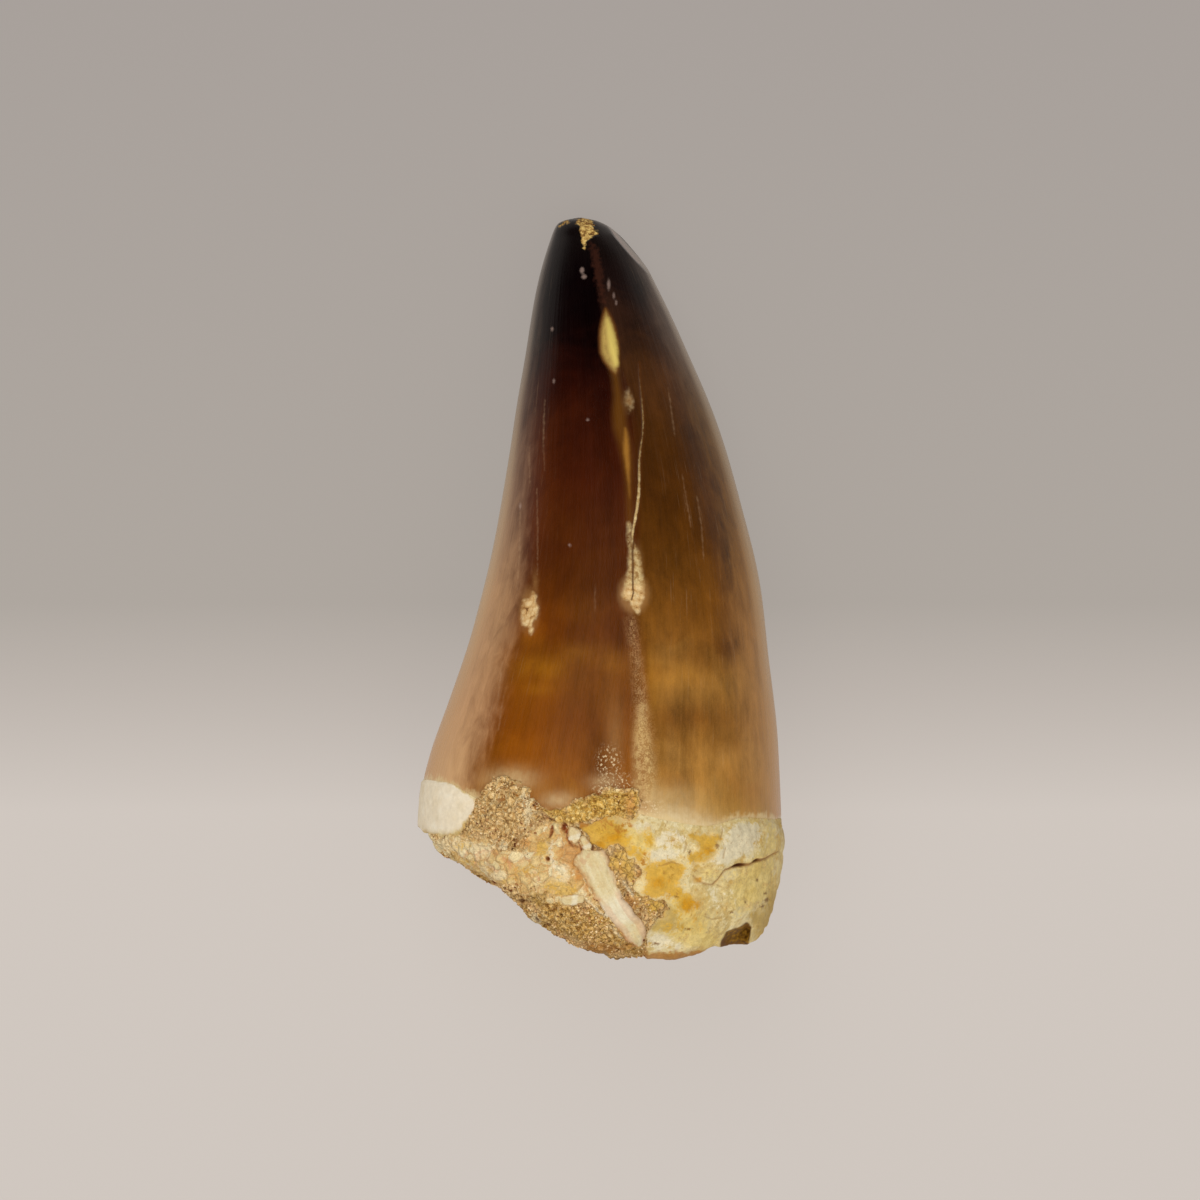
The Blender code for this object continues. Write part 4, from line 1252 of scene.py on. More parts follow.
stone = {
    "upperColumns": 400,
    "lowerColumns": 60,
    "rows": 150,
    "breakRows": 58,
    "startShare": -0.34,
    "topBeyond": 0.5,
    "hollowInside": 0.25,
    # the columns crowd between these angles in degrees
    "denseFrom": 62,
    "denseTo": 205,
    # heights and depths in millimetres
    "floor": 8.5,
    "floorWaves": 1.6,
    "crustAbove": 15,
    "sunk": 0.75,
    "proud": 0.16,
    "prouder": 0.10,
    "crustProud": 0.12,
    "ridgeRise": 0.10,
    "poreDepth": 0.26,
    "rimDip": 0.42,
    "pitDepth": 0.30,
    "edgePitDepth": 0.25,
    # the pulp hollow on the broken end, as x and z
    "pulpMiddle": (1.5, 11.5),
    "pulpRadii": (7.8, 6.2),
    "pulpScale": 6.5,
    "main": [
        (388, 830), (428, 831), (442, 836), (456, 834), (462, 828), (468, 821), (474, 814), (475, 800),
        (481, 791), (487, 784), (495, 778), (505, 775.5), (516, 778), (522, 785), (530, 790),
        (533, 802), (541, 809), (549, 808), (556, 812), (564, 818), (572, 822), (580, 831), (590, 842),
        (604, 850), (611, 847), (618, 846), (624, 850), (627, 857), (635, 859), (640, 865), (641, 874),
        (637, 881), (635, 890), (641, 897), (650, 894), (657, 899), (665, 899), (669, 906), (663, 912),
        (661, 919), (653, 918), (648, 923), (646, 934), (648, 948), (650, 990), (388, 990),
    ],
    "crust": [
        (541, 808), (552, 808), (562, 808), (573, 804), (580, 800), (590, 797), (600, 792),
        (610, 788.6), (619, 791), (626, 793), (632, 790), (638, 792), (639, 802), (637, 812),
        (634, 819), (627, 821), (620, 818), (608, 817), (596, 819), (586, 822), (574, 824), (560, 822),
        (549, 818),
    ],
    "creamBand": [
        (420, 832), (445, 836), (456, 836), (468, 838), (480, 841), (496, 846), (512, 851), (524, 849),
        (532, 839), (541, 828), (552, 822), (566, 828), (580, 842), (584, 860), (588, 880), (600, 900),
        (594, 908), (584, 903), (570, 907), (560, 902), (548, 896), (530, 888), (512, 884), (498, 881),
        (486, 883), (470, 873), (452, 861), (425, 846),
    ],
    "redFibres": [
        [(478.6, 853, 0.5), (486, 850, 0.8), (494, 850.6, 0.7), (500, 854, 0.4)],
        [(491, 862, 0.4), (496, 866, 0.6), (500, 869, 0.3)],
        [(480, 854, 0.4), (478, 860, 0.5), (480, 866, 0.3)],
        [(505, 856, 0.5), (511, 861, 0.7), (512, 868, 0.4)],
        [(470, 850, 0.3), (466, 856, 0.4), (468, 862, 0.3)],
        [(520, 862, 0.3), (526, 858, 0.4), (532, 861, 0.3)],
        [(536, 872, 0.3), (541, 878, 0.4), (540, 886, 0.3)],
    ],
    "ear": [(553, 841, 0.6), (551.6, 848, 1.4), (552, 856, 1.8), (555, 866, 1.6), (566, 870, 0.8)],
    "slivers": [
        [(584, 896, 0.6), (594, 905, 1.4), (606, 916, 0.6)],
        [(623, 881, 0.6), (629, 889, 1.5), (633, 897, 0.6)],
        [(607, 922, 0.4), (616, 930, 1.0), (625, 939, 0.4)],
    ],
    "seams": [
        [(553, 826, 0.9), (552, 832, 1.2), (550, 837, 0.5)],
        [(567, 832, 0.2), (567.6, 839, 0.6), (571, 845, 0.5), (578, 847, 0.2)],
        [(579, 843, 0.2), (582, 850, 0.6), (586, 855, 0.4)],
        [(589, 854, 0.4), (593.4, 849, 0.7), (592, 842, 0.4)],
        [(541, 812, 0.3), (546, 817, 0.7), (556, 821, 0.5)],
    ],
    "pit": [(564.6, 827, 2.4, 4.4), (567, 831, 2.0, 2.2), (548.6, 858.6, 1.4, 1.6)],
    # soft stains: column, row, half width, half height, amount
    # rust stains; the narrow marks along the bone splinter's two long edges are painted shadow
    "rust": [
        (568, 851, 10, 14, 1.15), (577, 851, 6, 5, 1.2), (574, 861, 4, 8, 1.1), (579, 874, 4, 8, 1.0),
        (586, 888, 4, 7, 0.9), (628, 904, 6, 10, 1.2), (621, 872, 5, 8, 0.7), (639, 874, 3, 6, 0.8),
        (549, 858.6, 3.4, 3.4, 0.9), (509, 859, 6, 6, 0.6), (493, 883, 6, 3, 0.8),
        (526, 843, 12, 6, 0.6), (523, 900, 5, 5, 0.7), (636, 902, 5, 4, 0.6), (630, 806, 7, 15, 0.7),
        (486, 858, 8, 7, 0.4),
    ],
    "yellow": [
        (619, 858, 14, 13, 0.95), (626, 872, 10, 10, 0.8), (652, 903, 16, 9, 0.8),
        (640, 888, 8, 7, 0.7), (543, 847, 7, 10, 1.2), (556, 886, 14, 9, 0.8), (572, 892, 8, 8, 0.7),
        (530, 868, 14, 9, 0.7), (604, 806, 13, 10, 0.9), (620, 818, 9, 5, 0.9), (470, 862, 12, 6, 0.7),
        (505, 878, 12, 5, 0.5), (560, 822, 10, 5, 0.5), (460, 846, 14, 5, 0.5),
    ],
    "pale": [
        (502, 874, 9, 6, 1.1), (562, 878, 9, 8, 0.9), (541, 880, 9, 6, 0.6), (450, 845, 18, 9, 1.0),
        (484, 852, 14, 8, 0.7), (504, 845, 10, 6, 0.7), (566, 866, 8, 5, 0.8), (528, 808, 10, 20, 0.8),
        (537, 918, 9, 8, 0.9), (486, 868, 8, 6, 0.6), (614, 926, 8, 5, 0.5), (520, 854, 10, 6, 0.6),
        (636, 930, 5, 8, 0.7), (634, 858, 9, 9, 0.5), (574, 840, 5, 7, 0.8), (475, 846, 8, 5, 0.5),
    ],
    "olive": [
        (538, 898, 14, 8, 1.0), (453, 854, 5, 5, 0.9), (576, 808, 11, 7, 1.0), (598, 808, 14, 9, 0.6),
        (560, 815, 16, 6, 0.5), (650, 908, 12, 8, 0.5),
    ],
    "speckled": [
        (497, 806, 10, 11, 1.1), (480, 821, 11, 11, 1.1), (514, 838, 18, 13, 1.0),
        (560, 925, 34, 24, 0.8), (602, 946, 18, 10, 0.7), (619, 862, 8, 14, 0.4),
        (652, 906, 14, 9, 0.4), (560, 815, 18, 6, 0.7), (606, 806, 16, 9, 0.7), (630, 806, 6, 14, 0.8),
        (536, 940, 20, 14, 0.7),
    ],
    "edgePits": [
        (493, 883, 2.6, 1.6), (513, 889, 2.4, 1.6), (523, 900, 2.6, 2.4), (538, 918, 2, 2.6),
        (547, 926, 2.8, 1.6),
    ],
    # darker sand low down: partly its own colour, partly painted shade where the broken end turns away
    # from the light
    "lowSand": [(560, 935, 60, 42, 1.2), (620, 950, 40, 22, 1.0), (655, 908, 20, 14, 0.4)],
    # painted shade along the stone's lower edge
    "bottomRust": [(600, 950, 34, 9, 1.0), (560, 938, 10, 6, 0.5), (536, 925, 6, 8, 0.5)],
}


def stoneGap(grid, onBreak):
    # distance in millimetres from where the stone shows, negative inside it
    column, row = photoPlace(grid)
    far = toothForm["farAway"]
    plan = np.minimum(areaGap(column, row, stone["main"]), far)
    crust = areaGap(column, row, stone["crust"])
    crust = np.where(grid[..., 2] > stone["crustAbove"], crust, far)
    floor = stone["floor"] + softNoise(grid, 0.3, 21) * stone["floorWaves"]
    plan = np.maximum(plan, (floor - grid[..., 2]) * 0.8)
    u = (grid[..., 0] - stone["pulpMiddle"][0]) / stone["pulpRadii"][0]
    v = (grid[..., 2] - stone["pulpMiddle"][1]) / stone["pulpRadii"][1]
    pulp = np.where(onBreak > 0.5, (np.hypot(u, v) - 1) * stone["pulpScale"], far)
    ragged = softNoise(grid, 0.8, 22) * 0.30 + softNoise(grid, 2.2, 23) * 0.20
    ragged += softNoise(grid, 5.0, 24) * 0.10
    return np.minimum(np.minimum(plan, crust), pulp) + ragged


def stoneAngles():
    # the stone shows mostly on the upper left, so its columns crowd there
    start, end = radians(stone["denseFrom"]), radians(stone["denseTo"])
    dense = np.linspace(start, end, stone["upperColumns"], endpoint=False)
    sparse = np.linspace(end, start + 2 * pi, stone["lowerColumns"], endpoint=False)
    return np.concatenate([dense, sparse])


def makeStone():
    angle = stoneAngles()
    grid, share, onBreak = rootGrid(angle, stone)
    column, row = photoPlace(grid)
    up = np.sin(angle)[None, :] + 0 * column
    gap = stoneGap(grid, onBreak)
    hidden = (up < -0.3) | (onBreak > 0.5)
    away = lambda value: np.where(hidden, toothForm["farAway"], value)
    ragged = softNoise(grid, 1.2, 61) * 0.45 + softNoise(grid, 3.0, 60) * 0.15
    band = away(areaGap(column, row, stone["creamBand"]) + ragged)
    crust = away(areaGap(column, row, stone["crust"]))
    fibres = away(manyPaths(column, row, stone["redFibres"]))
    ridges = away(manyPaths(column, row, [stone["ear"], *stone["slivers"]]))
    pits = away(np.minimum(spotGap(column, row, stone["pit"]), manyPaths(column, row, stone["seams"])))
    edgePits = away(spotGap(column, row, stone["edgePits"]))
    speckled = softField(column, row, stone["speckled"])
    pale = softField(column, row, stone["pale"])

    # Lumps, packed grains and pits; the cream band and the pale parts are smoother
    calm = np.maximum(ease(0.3, -0.4, band), 0.8 * ease(0.3, 0.8, pale))
    lumps = layeredNoise(grid, 0.45, 63) * 0.20 + layeredNoise(grid, 1.4, 64) * 0.15
    packed = (0.55 - cellNoise(grid, 2.4, 7)) * 0.24 + (0.5 - cellNoise(grid, 5.2, 8)) * 0.12
    pores = ease(0.30, 0.05, cellNoise(grid, 1.25, 9)) * stone["poreDepth"]
    pores *= 0.5 + 0.5 * ease(0.2, 0.7, speckled)
    rough = packed * (1 - 0.70 * calm) - pores * (1 - 0.5 * calm)
    rough *= 1 - 0.4 * ease(0.2, -0.1, crust)
    rough -= stone["pitDepth"] * ease(0.12, -0.12, pits)
    rough -= stone["edgePitDepth"] * ease(0.12, -0.12, edgePits)
    proud = stone["proud"] + stone["prouder"] * ease(0.0, -1.5, gap)
    proud = np.where(crust < 0.3, stone["crustProud"], proud)
    proud = proud + stone["ridgeRise"] * ease(0.22, -0.14, ridges)
    inside = ease(0.25, -0.05, gap)
    lift = (proud + lumps + rough) * inside - stone["sunk"] * (1 - inside)
    # near the broken rim the stone keeps within the tooth's outline
    onward = 1 - np.arange(1, stone["breakRows"]) / stone["breakRows"]
    lift -= stone["rimDip"] * ease(0.78, 1.0, np.concatenate([share[:, 0], onward]))[:, None]
    grid = grid + gridNormals(grid) * lift[..., None]
    sinkNick(grid, 0.5)
    grid[..., 2] = np.maximum(grid[..., 2], 0)

    grainShare = ease(0.05, -0.10, gap) * (1 - calm) * (1 - 0.92 * ease(0.2, -0.1, crust))
    grainShare *= ease(-0.6, 0.2, up) * ease(-0.25, 0.30, layeredNoise(grid, 0.9, 67))
    marks = {
        "bandGap": band,
        "crustGap": crust,
        "fibreGap": fibres,
        "ridgeGap": ridges,
        "pitGap": np.minimum(pits, edgePits),
        "depth": rough,
        "speckled": np.where(hidden, 0.6, speckled),
        "lowSand": np.where(hidden, 1, softField(column, row, stone["lowSand"])),
        "bottomRust": np.where(hidden, 0, softField(column, row, stone["bottomRust"])),
        "grainShare": grainShare,
    }
    for stain in ("rust", "yellow", "pale", "olive"):
        marks[stain] = np.where(hidden, 0, softField(column, row, stone[stain]))
    return skin("stone_matrix_surface", grid, *closingPoints(grid, stone), marks)


def sandFinish():
    f = Finish("sandy_phosphate_stone")
    place = f.place()
    patch = f.noise(place, 1.1, 6, 0.72, 0.5)
    fleck = f.noise(place, 3.0, 4, 0.72, 0.3)
    dust = f.noise(place, 7.5, 3, 0.65)
    cloud = f.noise(place, 0.5, 4, 0.6)
    centred = f.centred
    wobble = f.plus(centred(patch, 2.4), f.plus(centred(fleck, 1.6), centred(dust, 0.6)))

    specks = f.cellTone(place, 3.8)
    tone = f.plus(f.times(specks, 0.30), f.times(f.range(fleck, 0.3, 0.7), 0.70))
    sand = f.ramp(tone, [
        (0.08, (146, 102, 52)), (0.32, (190, 148, 88)), (0.60, (214, 177, 116)),
        (0.95, (236, 208, 156)),
    ])
    # darker sand low down: partly its own colour, partly painted shade where the broken end turns away
    # from the light
    lowSand = f.ramp(tone, [
        (0.08, (122, 80, 30)), (0.32, (174, 130, 62)), (0.60, (206, 164, 94)), (0.95, (230, 198, 136)),
    ])
    base = f.blend(f.ragged("lowSand", patch, 0.4, 0.4, 0.7), sand, lowSand)
    # painted shade along the stone's lower edge
    base = f.stain(base, "bottomRust", wobble, (178, 116, 52), 0.55, 0.22)
    warped = f.twisted(place, 1.1, 0.8)
    lumpEdge = f.cells(warped, 1.15, "DISTANCE_TO_EDGE")
    lumpTone = f.cellTone(warped, 1.15)
    creamTone = f.plus(f.times(lumpTone, 0.6), f.times(cloud, 0.4))
    cream = f.ramp(creamTone, [
        (0.20, (204, 164, 100)), (0.40, (214, 182, 122)), (0.60, (220, 196, 142)),
        (0.80, (228, 210, 164)),
    ])
    cream = f.blend(f.range(patch, 0.42, 0.32, 0.0, 0.55), cream, (188, 138, 68))
    cream = f.blend(f.range(patch, 0.56, 0.68, 0.0, 0.5), cream, (226, 206, 156))
    seam = f.times(f.range(lumpEdge, 0.10, 0.015), f.range(fleck, 0.38, 0.56, 0.1, 0.60))
    cream = f.blend(seam, cream, (186, 126, 66))
    cream = f.mottled(cream, dust, 0.90, 1.08)
    bandEdge = f.plus(f.mark("bandGap"), centred(patch, 0.9))
    base = f.blend(f.range(bandEdge, 0.16, -0.16), base, cream)
    for mark, colour, amount in (
        ("olive", (164, 128, 62), 0.65), ("pale", (228, 206, 160), 0.80),
        ("yellow", (210, 166, 72), 0.70),
    ):
        base = f.stain(base, mark, wobble, colour, amount, 0.22)
    crust = f.ragged("crustGap", fleck, 0.3, 0.1, -0.2)
    crustColour = f.ramp(tone, [
        (0.10, (132, 88, 28)), (0.35, (184, 138, 56)), (0.60, (208, 164, 80)), (0.90, (234, 204, 132)),
    ])
    base = f.blend(f.times(crust, 0.9), base, crustColour)
    # rust stains, with painted shadow along the bone splinter's edges
    base = f.stain(base, "rust", wobble, (194, 134, 66), 0.78, 0.42)
    fibre = f.plus(f.mark("fibreGap"), centred(fleck, 1.0))
    base = f.blend(f.range(fibre, 0.14, -0.14, 0.0, 0.55), base, (204, 138, 96))
    # painted shade: the low hollows of the relief are darkened
    lowReliefShade = f.range(f.mark("depth"), -0.02, -0.24)
    pit = f.blend(f.range(f.mark("bandGap"), 0.2, -0.2), (96, 56, 20), (150, 100, 48))
    base = f.blend(f.times(lowReliefShade, 0.80), base, pit)
    ridge = f.ragged("ridgeGap", fleck, 0.8, 0.12, -0.14, 0.0, 0.75)
    base = f.blend(ridge, base, (230, 214, 176))
    pitEdge = f.ragged("pitGap", fleck, 0.6, 0.14, -0.14, 0.0, 0.85)
    pitColour = f.blend(f.range(f.mark("lowSand"), 0.1, 0.4), (134, 54, 20), (112, 68, 30))
    base = f.blend(pitEdge, base, pitColour)
    dark = f.range(f.noise(place, 3.4, 3, 0.7), 0.57, 0.66)
    dark = f.times(dark, f.range(f.mark("speckled"), 0.25, 0.9, 0.04, 0.85))
    base = f.blend(f.times(dark, f.range(f.mark("bandGap"), -0.2, 0.3, 0.3, 1.0)), base, (98, 58, 22))
    # painted shade in the hollows between the crumbs, most where the stone is coarse
    crumbs = f.cells(f.twisted(place, 1.6, 0.7), 1.9, "DISTANCE_TO_EDGE")
    hollow = f.times(f.range(crumbs, 0.10, 0.02), f.range(patch, 0.56, 0.40, 0.0, 1.0))
    hollow = f.times(hollow, f.range(f.mark("bandGap"), -0.1, 0.3, 0.1, 0.60))
    hollow = f.times(hollow, f.range(crust, 0.0, 1.0, 1.0, 0.30))
    base = f.blend(f.times(hollow, 0.75), base, (118, 68, 22))
    light = f.times(f.range(cloud, 0.50, 0.66), f.range(f.mark("bandGap"), 0.0, 0.3, 0.0, 0.45))
    base = f.blend(light, base, (222, 186, 134))
    base = f.mottled(base, dust, 0.86, 1.10)
    relief = f.bump(fleck, 0.12, 0.6)
    onBand = f.range(f.mark("bandGap"), 0.2, -0.2, 0.0, 0.7)
    relief = f.bump(f.range(lumpEdge, 0.0, 0.25), 0.18, onBand, relief)
    offBand = f.range(f.mark("bandGap"), -0.2, 0.2, 0.0, 0.8)
    relief = f.bump(f.range(crumbs, 0.0, 0.18), 0.16, offBand, relief)
    return f.settle(Base_Color=base, Roughness=0.92, Normal=relief, Specular_IOR_Level=0.25)


# Grains: Geometry Nodes scatter small stones over the sandy parts

grains = {
    "perSquareMetre": 18e6,
    "seed": 7,
    # radii and distance apart in millimetres
    "smallest": 0.04,
    "largest": 0.13,
    "closest": 0.11,
    # a grain's shape is drawn between these scales, and its turns in radians up to the last
    "flattest": (0.7, 0.7, 0.55),
    "roundest": (1.2, 1.2, 1.0),
    "fullTurn": (6.28, 6.28, 6.28),
}


def grainTree(material):
    tree = bpy.data.node_groups.new("scattered_grains", "GeometryNodeTree")
    tree.interface.new_socket("Geometry", in_out="INPUT", socket_type="NodeSocketGeometry")
    for name in ("Density", "Smallest", "Largest", "Closest"):
        tree.interface.new_socket(name, in_out="INPUT", socket_type="NodeSocketFloat")
    tree.interface.new_socket("Geometry", in_out="OUTPUT", socket_type="NodeSocketGeometry")
    nodes, links = tree.nodes, tree.links

    def add(kind, settings=None, **inputs):
        node = nodes.new(kind)
        for name, value in (settings or {}).items():
            setattr(node, name, value)
        for name, value in inputs.items():
            socket = node.inputs[name.replace("_", " ")]
            if isinstance(value, bpy.types.NodeSocket):
                links.new(value, socket)
            else:
                socket.default_value = value
        return node

    start = add("NodeGroupInput")
    share = add("GeometryNodeInputNamedAttribute", {"data_type": "FLOAT"}, Name="grainShare")
    spread = add(
        "GeometryNodeDistributePointsOnFaces", {"distribute_method": "POISSON"},
        Mesh=start.outputs["Geometry"], Distance_Min=start.outputs["Closest"],
        Density_Max=start.outputs["Density"], Density_Factor=share.outputs["Attribute"],
        Seed=grains["seed"],
    )
    grain = add("GeometryNodeMeshIcoSphere", Radius=1.0, Subdivisions=1)
    size = add("FunctionNodeRandomValue", {"data_type": "FLOAT"}, Seed=grains["seed"] + 1)
    links.new(start.outputs["Smallest"], size.inputs[2])
    links.new(start.outputs["Largest"], size.inputs[3])
    squash = add("FunctionNodeRandomValue", {"data_type": "FLOAT_VECTOR"}, Seed=grains["seed"] + 2)
    squash.inputs[0].default_value = grains["flattest"]
    squash.inputs[1].default_value = grains["roundest"]
    sizes = add("ShaderNodeVectorMath", {"operation": "SCALE"}, Vector=squash.outputs[0])
    links.new(size.outputs[1], sizes.inputs["Scale"])
    turn = add("FunctionNodeRandomValue", {"data_type": "FLOAT_VECTOR"}, Seed=grains["seed"] + 3)
    turn.inputs[0].default_value = (0, 0, 0)
    turn.inputs[1].default_value = grains["fullTurn"]
    placed = add(
        "GeometryNodeInstanceOnPoints", Points=spread.outputs["Points"], Instance=grain.outputs["Mesh"],
        Rotation=turn.outputs[0], Scale=sizes.outputs["Vector"],
    )
    tone = add("FunctionNodeRandomValue", {"data_type": "FLOAT"}, Seed=grains["seed"] + 4)
    toned = add(
        "GeometryNodeStoreNamedAttribute", {"data_type": "FLOAT", "domain": "INSTANCE"},
        Geometry=placed.outputs["Instances"], Name="tone",
    )
    links.new(tone.outputs[1], toned.inputs["Value"])
    real = add("GeometryNodeRealizeInstances", Geometry=toned.outputs["Geometry"])
    dressed = add("GeometryNodeSetMaterial", Geometry=real.outputs["Geometry"], Material=material)
    end = add("NodeGroupOutput")
    links.new(dressed.outputs["Geometry"], end.inputs["Geometry"])
    return tree


def grainFinish():
    f = Finish("loose_sand_grains")
    tone = f.mark("tone")
    base = f.ramp(tone, [
        (0.0, (104, 58, 28)), (0.14, (156, 108, 62)), (0.40, (200, 156, 100)), (0.75, (218, 182, 126)),
        (1.0, (238, 212, 164)),
    ])
    base = f.mottled(base, f.noise(f.place(), 6.0, 2, 0.6), 0.85, 1.12)
    return f.settle(Base_Color=base, Roughness=0.85, Specular_IOR_Level=0.3)


def makeGrains(ground):
    tree = grainTree(grainFinish())
    carrier = bpy.data.objects.new("grain_carrier", ground.data)
    bpy.context.scene.collection.objects.link(carrier)
    scatter = carrier.modifiers.new("grains", "NODES")
    scatter.node_group = tree
    values = {
        "Density": grains["perSquareMetre"], "Smallest": grains["smallest"] * mm,
        "Largest": grains["largest"] * mm, "Closest": grains["closest"] * mm,
    }
    for item in tree.interface.items_tree:
        if item.in_out == "INPUT" and item.name in values:
            scatter[item.identifier] = values[item.name]
    shown = carrier.evaluated_get(bpy.context.evaluated_depsgraph_get())
    mesh = bpy.data.meshes.new_from_object(shown)
    mesh.name = "sand_grains"
    bpy.data.objects.remove(carrier)
    piece = bpy.data.objects.new("sand_grains", mesh)
    bpy.context.scene.collection.objects.link(piece)
    return piece


# Pieces of bone held in the stone, each between two lines of (column, row) in the photograph.
# Seen along the lines, the first lies to the right, and "rise" and "sink" are above and below the surface.

bones = {
    "bone_splinter": {
        "first": [
            (577, 853), (575.4, 857), (577.1, 864.3), (581.4, 874.3), (585.7, 881.4), (588.6, 888.6),
            (595.7, 902.9), (605.7, 914.3), (611.4, 924.3), (618.6, 931.4), (627.1, 940), (636.4, 947),
        ],
        "second": [
            (590, 848.5), (598, 850.5), (604.5, 853), (609.4, 859), (611.6, 870), (615.6, 881),
            (622.4, 893), (628, 906), (634.5, 914.5), (642, 920.4), (644, 931), (643.4, 946),
        ],
        "rise": 0.56, "sink": 1.1, "rows": 150, "columns": 72, "ragged": 0.24, "waves": 13, "seed": 71,
    },
    "bone_chip_upper": {
        "first": [(569.6, 827.6), (568.4, 831), (568.8, 836), (570, 840.6), (573.6, 843.6)],
        "second": [(572, 826.6), (576, 829), (579.6, 833), (580, 838), (576.4, 842.6)],
        "rise": 0.30, "sink": 0.7, "rows": 50, "columns": 40, "ragged": 0.34, "waves": 5, "seed": 75,
    },
    "bone_chip_middle": {
        "first": [(580.5, 838.4), (582.2, 842.6), (584.0, 847), (585.6, 850.6), (587.2, 853)],
        "second": [(582.6, 836.8), (586.6, 840.6), (590.8, 845), (591.4, 848), (589.6, 852)],
        "rise": 0.26, "sink": 0.6, "rows": 44, "columns": 40, "ragged": 0.34, "waves": 5, "seed": 83,
    },
    "bone_chip_lower": {
        "first": [(562, 900.6), (564.3, 905.7), (570, 906.6), (577, 903.8), (583, 901.4)],
        "second": [(562, 896.4), (566, 895.4), (571.4, 895.8), (578, 894.6), (584.3, 894.6)],
        "rise": 0.34, "sink": 0.7, "rows": 50, "columns": 40, "ragged": 0.20, "waves": 4, "seed": 79,
    },
}

boneForm = {
    "cornerPower": 0.45,
    "taperPower": 16,
    "endWidth": 0.12,
    "grainAlong": 0.22,
    "lumpHeight": 0.10,
    "finerHeight": 0.04,
    "creaseHeight": 0.22,
    "pitDepth": 0.08,
    "poleReach": 0.05,
}


def photoPoint(column, row):
    # the point of the tooth's upper face that shows at this place of the photograph
    across = (column - view["middleColumn"]) * view["pixel"]
    along = (view["baseRow"] - row) * view["pixel"]
    height = np.full(column.shape, toothForm["firstHeight"])
    for _ in range(toothForm["settlingSteps"]):
        x = across / spreadAt(height)
        y = view["aimY"] + (along - rowShift) / spreadAt(height)
        height = 0.5 * (height + upperHeight(x, y))
    return x, y


def makeBone(name, part):
    # a splinter or chip: a flat-backed strip between its two lines, with worn corners and chipped edges
    s = np.linspace(0, 1, part["rows"])
    lines = []
    for side in ("first", "second"):
        points = np.array(part[side], float)
        reach = np.concatenate([[0], np.cumsum(np.hypot(*np.diff(points, axis=0).T))])
        column, row = (np.interp(s * reach[-1], reach, points[:, k]) for k in range(2))
        for _ in range(3):
            column[1:-1] = (column[:-2] + 2 * column[1:-1] + column[2:]) / 4
            row[1:-1] = (row[:-2] + 2 * row[1:-1] + row[2:]) / 4
        lines.append(np.stack(photoPoint(column, row), -1))
    middle, reach = (lines[0] + lines[1]) / 2, (lines[0] - lines[1]) / 2
    turn = np.linspace(0, 2 * pi, part["columns"], endpoint=False)
    out, up = np.cos(turn), np.sin(turn)
    wide, tall = (np.sign(turned) * np.abs(turned) ** boneForm["cornerPower"] for turned in (out, up))
    taper = np.sqrt(1 - np.abs(2 * s - 1) ** boneForm["taperPower"])
    taper = taper * (1 - boneForm["endWidth"]) + boneForm["endWidth"]
    down, over = np.meshgrid(s * part["waves"], np.sign(wide) * 5, indexing="ij")
    uneven = layeredNoise(np.stack([down, over, 0 * down + part["seed"]], -1), 1.0, 3, 2)
    across = wide[None, :] * taper[:, None] * (1 + part["ragged"] * uneven)
    px = middle[:, 0:1] + reach[:, 0:1] * across
    py = middle[:, 1:2] + reach[:, 1:2] * across
    ground = upperHeight(px, py)
    height = np.where(tall > 0, tall * part["rise"], tall * part["sink"])[None, :] * taper[:, None]
    grid = np.stack([px, py, ground + height], -1)
    width = np.hypot(*reach.T)[:, None] * across
    travel = np.concatenate([[0], np.cumsum(np.hypot(*np.diff(middle, axis=0).T))])
    grain = np.stack([width, travel[:, None] * boneForm["grainAlong"] + 0 * px, grid[..., 2]], -1)
    lengthways = np.stack([width * 1.6, travel[:, None] * 0.3 + 0 * px, 0 * px], -1)
    creases = softNoise(lengthways, 1.0, part["seed"] + 7)
    lift = layeredNoise(grid, 0.9, part["seed"]) * boneForm["lumpHeight"]
    lift += layeredNoise(grid, 3.0, part["seed"] + 3) * boneForm["finerHeight"]
    lift += boneForm["creaseHeight"] * np.abs(creases)
    lift -= boneForm["pitDepth"] * ease(0.30, 0.1, cellNoise(grid, 1.4, 4))
    grid = grid + gridNormals(grid) * lift[..., None]
    marks = {"grain": grain, "crease": creases}
    marks["edge"] = wide[None, :] + 0 * px
    marks["down"] = s[:, None] + 0 * px
    beyond = boneForm["poleReach"]
    first = grid[0].mean(axis=0) * (1 + beyond) - grid[1].mean(axis=0) * beyond
    last = grid[-1].mean(axis=0) * (1 + beyond) - grid[-2].mean(axis=0) * beyond
    return skin(name + "_surface", grid, first, last, marks)


